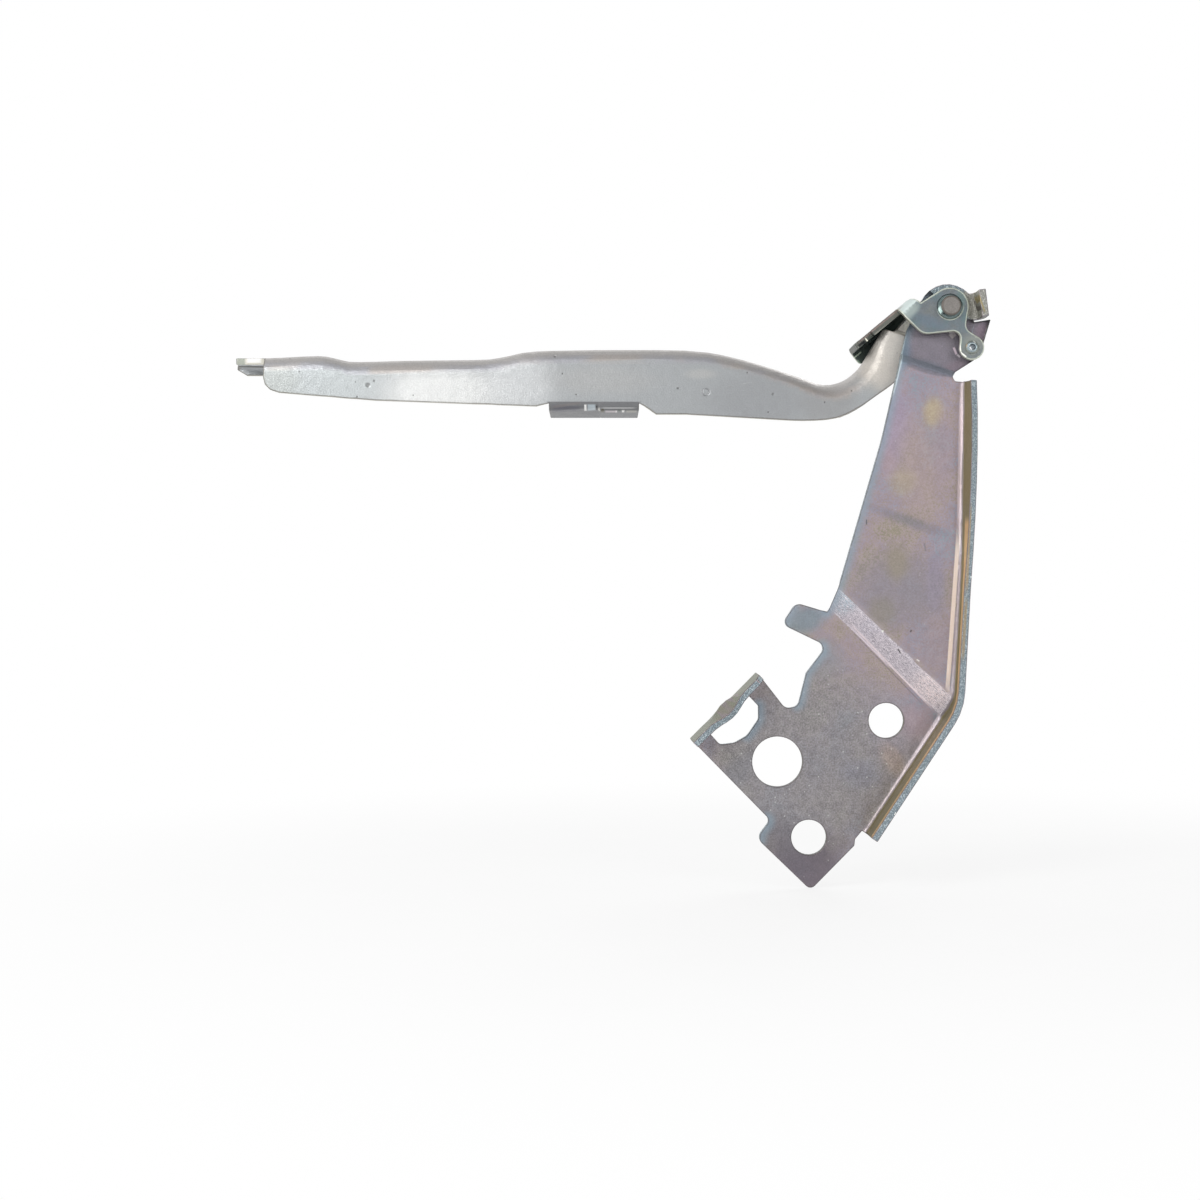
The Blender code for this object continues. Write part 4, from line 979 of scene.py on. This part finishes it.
# %% Finishes of the small pieces
green = Finish("green zinc", 0.75, screen(109, 123, 124))
film = green.tree.group(FILM, {"Place": green.place, "Spread": 5.0, "Shift": -0.15, "Contrast": 1.2,
                               "Grain": 0.6, "Pitch": 0.4})["Colour"]
green.lay(0.22, film)
grain = green.masked(GRAIN, Pitch=0.45, Contrast=1.5)
green.paint(grain, 0.3, (80, 90, 90))
# The second patch, on the ear's bend, is a painted highlight.
green.patches(-11.5, [(972, 345, 15, 15, 0, (144, 148, 143), 0.88),
                      (910, 311.5, 15, 8, 43, (168, 180, 177), 0.9),
                      (930, 322, 26, 8, -20, (112, 124, 138), 0.5),
                      (961, 300, 7, 16, 0, (104, 132, 128), 0.5)])
# Painted highlight: the outside of the ear's bend, which faces up and left, is painted nearly white.
bend_highlight = green.masked(FACING, Direction=(-0.63, -0.3, 0.72), Start=0.42, Full=0.7)
green.paint(bend_highlight, 0.85, (226, 238, 235))
green.matter(bend_highlight, 0.45)
depth = green.tree.node("ShaderNodeSeparateXYZ", {0: green.place}).outputs["Y"]
# Painted shade: faces between the two sides of the bracket are painted dark, and the cut edges there darker.
shaded_inner = green.times(green.tree.between(depth, -8.4, -7.4), green.tree.between(depth, 8.6, 7.6))
green.paint(shaded_inner, 0.85, (52, 64, 58))
# Painted highlight: the rounded rims are painted pale, except round the pivot hole and deep inside.
edge = green.masked(BAND, Distance=green.stored("rim"), Width=0.3, Fade=0.3)
pivot_hole = green.spot(949.5, 303.8, -11.5, (5.2, 40.0, 5.2), Ragged=0.0, Softness=0.1)
edge = green.less(edge, pivot_hole)
green.paint(green.less(edge, shaded_inner), 0.75, (206, 212, 196))
shear = green.tree.mix(shaded_inner, screen(205, 204, 190), screen(102, 101, 95))
green.lay(green.times(green.stored("sheared"), 0.9), shear)
# Painted shade: the walls of the holes are painted darker.
green.paint(green.stored("bored"), 0.8, (96, 108, 108))

# %% [markdown]
# The stop flange stands edge on. Its cut edge is brown outside and grey inside. In the notch its two ends
# are painted white as highlights with a dark gap of painted shade between them, and its inner face is painted
# dark green as shade, with one bright bar of painted highlight on the inner bend.

# %% The edge of the stop flange
TILT = 39.5
green.facets(-7.8, [
    (874, 330, 32, 4.2, 37, (98, 100, 95), 0.9), (879, 322.5, 34, 0.9, TILT, (108, 90, 86), 0.8),
    (880, 324.6, 32, 1.0, TILT, (152, 134, 130), 0.7),
    (862.5, 343.0, 6.4, 1.6, TILT, (34, 36, 38), 0.95),
    (856.8, 348.6, 0.8, 2.6, TILT, (250, 248, 232), 1.0),
    (868.0, 338.8, 0.8, 2.8, TILT, (250, 248, 230), 1.0), (853.2, 353.2, 3.4, 3.4, TILT, (52, 50, 58), 0.9),
    (872.5, 337.0, 3.4, 2.4, TILT, (70, 78, 72), 0.7)], 1.0, 12.0)
green.facets(-5.0, [
    (861.4, 351.2, 6.8, 0.8, TILT, (214, 232, 212), 1.0),
    (862, 358.5, 3.4, 2.4, TILT, (140, 166, 146), 0.9),
    (856.4, 357.2, 4.2, 1.0, TILT - 90, (28, 34, 38), 0.8)], 1.0, 16.0)
# White lines along the ear's lower rims are painted highlights.
green.facets(-11.5, [(960, 346, 0.9, 6.5, 8, (250, 248, 236), 0.9),
                     (963.4, 354.6, 4.2, 0.9, -38, (250, 250, 242), 0.9),
                     (907, 318.7, 5.6, 0.8, -50, (240, 242, 230), 0.9)])
green.smooth(grain, 0.44)
green.raise_by(grain, 0.04)
green_zinc = green.done()

steel = Finish("pivot steel", 0.7, screen(142, 138, 134))
grain = steel.masked(GRAIN, Pitch=0.4, Contrast=1.6)
steel.paint(grain, 0.42, (100, 96, 92))
line = steel.masked(BAND, Distance=steel.stored("rim"), Width=0.18, Fade=0.25)
steel.paint(line, 0.6, (88, 80, 72))
depth = steel.tree.node("ShaderNodeSeparateXYZ", {0: steel.place}).outputs["Y"]
collar = steel.tree.between(depth, -14.2, -13.4)
steel.paint(collar, 0.9, (118, 134, 134))
# A pale crescent on the collar is a painted highlight; the two near black marks beside it are painted shade
# in the gap round the pin.
steel.facets(-12.0, [
    (940.6, 309.5, 3.0, 4.4, -32, (226, 244, 240), 0.95), (944.6, 313.6, 1.8, 1.0, -20, (22, 26, 26), 0.95),
    (950.4, 314.6, 2.0, 0.9, 12, (26, 28, 28), 0.95)], collar)
steel.smooth(grain, 0.56)
steel.raise_by(grain, 0.05)
pivot_steel = steel.done()

bush = Finish("bush steel", 0.85, screen(120, 120, 116))
grain = bush.masked(GRAIN, Pitch=0.5, Contrast=1.0)
bush.paint(grain, 0.35, (92, 90, 86))
bush.smooth(grain, 0.4)
bush_steel = bush.done()

coat = Finish("rivet zinc", 0.8, screen(120, 138, 152))
grain = coat.masked(GRAIN, Pitch=0.3, Contrast=1.6)
coat.paint(grain, 0.4, (84, 92, 100))
middle = tuple(seen_at(972.2, 346.9, -12.5))
lip = coat.masked(PATCH, Centre=middle, Size=(1.75, 40.0, 1.75), Ragged=0.0, Softness=0.08)
coat.lay(coat.tree.math("SUBTRACT", 1.0, lip), screen(142, 148, 143))
crest = coat.masked(BAND, Distance=coat.stored("rim"), Width=0.05, Fade=0.12, Ragged=0.6)
coat.paint(coat.times(crest, lip), 0.8, (204, 218, 218))
# The white mark on the rivet's rim is a painted highlight.
coat.facets(-12.8, [(974.6, 341.6, 2.2, 0.8, -52, (246, 250, 246), 0.95),
                    (966.6, 344.4, 1.2, 2.4, 0, (160, 136, 110), 0.7)])
coat.smooth(grain, 0.35)
coat.raise_by(grain, 0.04)
rivet_zinc = coat.done()

# %% [markdown]
# ## The pressings
#
# With the tools and finishes ready, each pressing of the CAD model gets its dressed piece.

# %% Dress the three pressings
dress("dressed_body_bracket", "body_bracket", "bracket", "iridescent_zinc", iridescent_zinc)
dress("dressed_bonnet_arm", "bonnet_arm", "arm", "satin_zinc", satin_zinc)
dress("dressed_stop_bracket", "stop_bracket", "bracket", "green_zinc", green_zinc, cell=1.0)

# %% [markdown]
# ## Turned pieces from one Geometry Nodes tree
#
# Rivets, washers and the bush are turned: one profile goes round an axis. A tree can do that for all of
# them. It lays out a grid of stations and sides, reads each station's radius and depth from the profile
# that the object holds, and wraps the grid round the Y axis. Two more inputs give the bore flat sides,
# as a driver leaves them in a small rivet. The seam is merged, instances are realized and the finish set.

# %% The turning tree


def new_geometry_tree(name, inputs):
    """A geometry tree with its tree helper, its inputs and its output node."""
    made = bpy.data.node_groups.new(name, "GeometryNodeTree")
    made.interface.new_socket("Geometry", in_out="INPUT", socket_type="NodeSocketGeometry")
    kinds = {int: "NodeSocketInt", float: "NodeSocketFloat", type(None): "NodeSocketMaterial"}
    for label, value in inputs.items():
        socket = made.interface.new_socket(label, in_out="INPUT", socket_type=kinds[type(value)])
        if value is not None:
            socket.default_value = value
    made.interface.new_socket("Geometry", in_out="OUTPUT", socket_type="NodeSocketGeometry")
    tree = Tree(made)
    return made, tree, tree.node("NodeGroupInput").outputs, tree.node("NodeGroupOutput")


TURNING, tree, take, give = new_geometry_tree(
    "turned piece", {"Sides": 64, "Bore Flats": 0, "Flat Reach": 0.0, "Finish": None})
stations = tree.node("GeometryNodeAttributeDomainSize", {"Geometry": take["Geometry"]}).outputs["Point Count"]
around = tree.math("ADD", take["Sides"], 1.0)
grid = tree.node("GeometryNodeMeshGrid", {"Vertices X": stations, "Vertices Y": around}).outputs["Mesh"]
number = tree.node("GeometryNodeInputIndex").outputs[0]
station = tree.math("FLOOR", tree.math("DIVIDE", tree.math("ADD", number, 0.5), around))
side = tree.math("SUBTRACT", number, tree.math("MULTIPLY", station, around))
profile = tree.node("GeometryNodeSampleIndex", {
    "Geometry": take["Geometry"], "Value": tree.node("GeometryNodeInputPosition").outputs[0],
    "Index": station}, data_type="FLOAT_VECTOR").outputs["Value"]
flat_profile = tree.node("ShaderNodeSeparateXYZ", {0: profile}).outputs
angle = tree.math("MULTIPLY", tree.math("DIVIDE", side, take["Sides"]), math.tau)
sector = tree.math("DIVIDE", math.tau, tree.math("MAXIMUM", take["Bore Flats"], 1.0))
half = tree.math("DIVIDE", sector, 2.0)
inside = tree.math("SUBTRACT", tree.math("MODULO", angle, sector), half)
hexed = tree.math("DIVIDE", tree.math("COSINE", half), tree.math("COSINE", inside))
near = tree.math("LESS_THAN", flat_profile[0], take["Flat Reach"])
stretch = tree.math("ADD", 1.0, tree.math("MULTIPLY", near, tree.math("SUBTRACT", hexed, 1.0)))
radius = tree.math("MULTIPLY", flat_profile[0], stretch)
sideways = tree.math("MULTIPLY", radius, tree.math("COSINE", angle))
upward = tree.math("MULTIPLY", radius, tree.math("SINE", angle))
spot = tree.node("ShaderNodeCombineXYZ", {0: sideways, 1: flat_profile[1], 2: upward}).outputs[0]
wrapped = tree.node("GeometryNodeSetPosition", {"Geometry": grid, "Position": spot}).outputs[0]
closed = tree.node("GeometryNodeMergeByDistance", {"Geometry": wrapped, "Distance": 0.0005 * MM}).outputs[0]
real = tree.node("GeometryNodeRealizeInstances", {"Geometry": closed}).outputs[0]
finished = tree.node("GeometryNodeSetMaterial", {"Geometry": real, "Material": take["Finish"]}).outputs[0]
tree.put(give.inputs["Geometry"], finished)
print(TURNING.name, "has", len(TURNING.nodes), "nodes")


def grown(tree, source, inputs, name):
    """Run a geometry tree on a source mesh and return the plain result."""
    holder = bpy.data.objects.new(name, source)
    bpy.context.collection.objects.link(holder)
    modifier = holder.modifiers.new(name, "NODES")
    modifier.node_group = tree
    for item in tree.interface.items_tree:
        if item.item_type == "SOCKET" and item.in_out == "INPUT" and item.name in inputs:
            modifier[item.identifier] = inputs[item.name]
    ready = holder.evaluated_get(bpy.context.evaluated_depsgraph_get())
    result = bpy.data.meshes.new_from_object(ready)
    bpy.data.objects.remove(holder)
    return result


# %% [markdown]
# The profiles take their radii and depths from the CAD nodes. Every corner is rounded a little, as a
# turned corner is. The rivet is upset tight in its hole, so its collar fills the ear's hole.

# %% Profiles of the turned pieces
BREAK = 0.12
SMALL_FACE = 0.1


def girth(node, low=-1e3, high=1e3):
    """Centre in X and Z, smallest and largest radius and depth range of a round CAD node, in mm."""
    spots = np.array([vert.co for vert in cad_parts[node].data.vertices]) / MM
    middle = (spots.min(0) + spots.max(0)) / 2
    reach = np.hypot(spots[:, 0] - middle[0], spots[:, 2] - middle[2])
    kept = (spots[:, 1] >= low) & (spots[:, 1] <= high)
    return middle, reach[kept].min(), reach[kept].max(), spots[kept, 1].min(), spots[kept, 1].max()


def softened(corners, closed):
    """A profile with each corner cut by a small round."""
    points = []
    for i, corner in enumerate(corners):
        corner = Vector(corner)
        if not closed and i in (0, len(corners) - 1):
            points.append(corner)
            continue
        before = Vector(corners[i - 1])
        after = Vector(corners[(i + 1) % len(corners)])
        size = min(BREAK, 0.4 * (before - corner).length, 0.4 * (after - corner).length)
        start = corner + (before - corner).normalized() * size
        end = corner + (after - corner).normalized() * size
        points += [start, (start + 2 * corner + end) / 4, end]
    return points + points[:1] if closed else points


def turn_piece(name, node, body, slot, material, corners, closed, sides=64, flats=0, reach=0.0):
    """Make a turned piece from its profile of (radius, depth) corners and show it on its body."""
    points = softened(corners, closed)
    source = bpy.data.meshes.new(name)
    steps = [(i, i + 1) for i in range(len(points) - 1)]
    source.from_pydata([(p.x * MM, p.y * MM, 0) for p in points], steps, [])
    mesh = grown(TURNING, source, {"Sides": sides, "Bore Flats": flats, "Flat Reach": reach * MM,
                                   "Finish": material}, name)
    middle = girth(node)[0]
    mesh.transform(Matrix.Translation((middle[0] * MM, 0, middle[2] * MM)))
    bm = bmesh.new()
    bm.from_mesh(mesh)
    bmesh.ops.recalc_face_normals(bm, faces=bm.faces)
    for face in bm.faces:
        face.smooth = True
        face.material_index = ROUNDED if face.calc_area() < SMALL_FACE * MM * MM else SKIN
    bm.to_mesh(mesh)
    bm.free()
    places = np.array([vert.co for vert in mesh.vertices]) / MM
    flat = np.stack([np.hypot(places[:, 0] - middle[0], places[:, 2] - middle[2]), places[:, 1]], 1)
    ridges = np.array([c for c in corners if c[0] > 0])
    keep_values(mesh, "rim", "POINT", np.linalg.norm(flat[:, None] - ridges[None], axis=2).min(1))
    settle_normals(mesh)
    mesh.polygons.foreach_set("material_index", np.zeros(len(mesh.polygons), dtype=np.int32))
    return add_piece(name, mesh, body, slot, material, node)


# %% Turn the rivets, the bush and the washers
ear_front = min(vert.co.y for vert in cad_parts["stop_bracket"].data.vertices) / MM
middle, _, widest, front, back = girth("pivot_rivet")
tip = girth("pivot_rivet", high=front + 2.0)[2]
shank = girth("pivot_rivet", low=ear_front - 1.0, high=ear_front)[2]
filled = shank + 0.27
end, seat, tail_edge = front + 0.03, back - 2.4, back - 0.9
turn_piece("dressed_pivot_rivet", "pivot_rivet", "bracket", "pivot_steel", pivot_steel, [
    (0, end), (tip - 0.35, end), (tip, front + 0.3), (tip, ear_front - 0.35), (tip + 0.1, ear_front - 0.1),
    (shank + 0.05, ear_front - 0.1), (filled, ear_front + 0.25), (filled, ear_front + 1.9),
    (shank, ear_front + 2.2), (shank, seat), (widest, seat), (widest, tail_edge),
    (widest - 1.0, back - 0.05),
    (0, back)], False)

for node, body in (("pivot_bush", "arm"), ("near_washer", "bracket"), ("far_washer", "bracket")):
    _, bore, rim, low, high = girth(node)
    turn_piece("dressed_" + node, node, body, "bush_steel", bush_steel,
               [(bore, low), (rim, low), (rim, high), (bore, high)], True)

_, bore, head, front, back = girth("stop_bracket_rivet")
stem = (bore + head) / 2
turn_piece("dressed_stop_rivet", "stop_bracket_rivet", "bracket", "rivet_zinc", rivet_zinc, [
    (bore, front + 1.0), (bore + 0.05, front + 0.35), (bore + 0.3, front), (bore + 0.65, front + 0.02),
    (bore + 0.8, front + 0.3), (head - 0.15, front + 0.42), (head, front + 0.7), (head, ear_front - 0.32),
    (stem + 0.2, ear_front - 0.3), (stem + 0.2, back - 0.75), (head, back - 0.72), (head - 0.3, back - 0.1),
    (bore + 0.3, back), (bore, back - 0.4)], True, sides=48, flats=6, reach=bore + 0.7)

# %% [markdown]
# ## Shear ridges along the cut edge of the flange
#
# Shears leave fine ridges across a cut edge, and here and there a brighter one. They repeat along a path,
# so a second tree makes them: the path becomes a curve, is resampled at the pitch, and each point gets a
# thin ridge that lies across the edge, with a length and a height of its own.

# %% The ridge tree
RIDGES, tree, take, give = new_geometry_tree(
    "shear ridges", {"Pitch": 0.001, "Length": 0.001, "Width": 0.0001, "Height": 0.0001, "Seed": 3,
                     "Finish": None})
path = tree.node("GeometryNodeMeshToCurve", {"Mesh": take["Geometry"]}).outputs["Curve"]
spaced = tree.node("GeometryNodeResampleCurve", {"Curve": path, "Length": take["Pitch"]}, mode="LENGTH")
heading = tree.node("GeometryNodeInputTangent").outputs[0]
aligned = tree.node("FunctionNodeAlignRotationToVector", {"Vector": heading}, axis="Z").outputs[0]
grain = tree.node("GeometryNodeMeshIcoSphere", {"Radius": 1.0, "Subdivisions": 2}).outputs["Mesh"]
facing_out = tree.node("FunctionNodeAlignRotationToVector", {"Rotation": aligned, "Vector": (0.0, -1.0, 0.0)},
                       axis="Y", pivot_axis="Z").outputs[0]
chance = tree.node("FunctionNodeRandomValue", {"Seed": take["Seed"]}, data_type="FLOAT").outputs[1]
share = tree.math("ADD", 0.45, tree.math("MULTIPLY", chance, 0.55))
size = tree.node("ShaderNodeCombineXYZ", {0: tree.math("MULTIPLY", take["Length"], share),
                                          1: tree.math("MULTIPLY", take["Height"], share),
                                          2: take["Width"]}).outputs[0]
strewn = tree.node("GeometryNodeInstanceOnPoints", {"Points": spaced.outputs[0], "Instance": grain,
                                                    "Rotation": facing_out, "Scale": size}).outputs[0]
real = tree.node("GeometryNodeRealizeInstances", {"Geometry": strewn}).outputs[0]
finished = tree.node("GeometryNodeSetMaterial", {"Geometry": real, "Material": take["Finish"]}).outputs[0]
tree.put(give.inputs["Geometry"], finished)
print(RIDGES.name, "has", len(RIDGES.nodes), "nodes")
CUT_WIDTHS = (1.5, 3.2)


def cut_edge_line(node):
    """The middle line of the flange's cut edge that faces the viewer, from low to high."""
    bm = merged_copy(node)
    sort_faces(bm)
    middles = []
    for edge in bm.edges:
        faces = edge.link_faces
        middle = (edge.verts[0].co + edge.verts[1].co) / 2
        across = CUT_WIDTHS[0] * MM < edge.calc_length() < CUT_WIDTHS[1] * MM
        if across and middle.x > 0 and all(f.material_index == SHEARED and f.normal.y < -0.6 for f in faces):
            middles.append(middle)
    bm.free()
    return sorted(middles, key=lambda middle: middle.z)


line = cut_edge_line("body_bracket")
print("The cut edge has", len(line), "places from", [round(c / MM) for c in line[0]], "to",
      [round(c / MM) for c in line[-1]])
source = bpy.data.meshes.new("cut edge")
source.from_pydata(line, [(i, i + 1) for i in range(len(line) - 1)], [])
sizes = {"Pitch": 1.1 * MM, "Length": 1.0 * MM, "Width": 0.14 * MM, "Height": 0.09 * MM}
ridges = grown(RIDGES, source, {**sizes, "Seed": 3, "Finish": iridescent_zinc}, "shear ridges")
for name, value in (("rim", FAR_FROM_RIM), ("left_rim", FAR_FROM_RIM), ("sheared", 1.0)):
    keep_values(ridges, name, "POINT", [value] * len(ridges.vertices))
add_piece("shear_ridges", ridges, "bracket", "iridescent_zinc", iridescent_zinc)
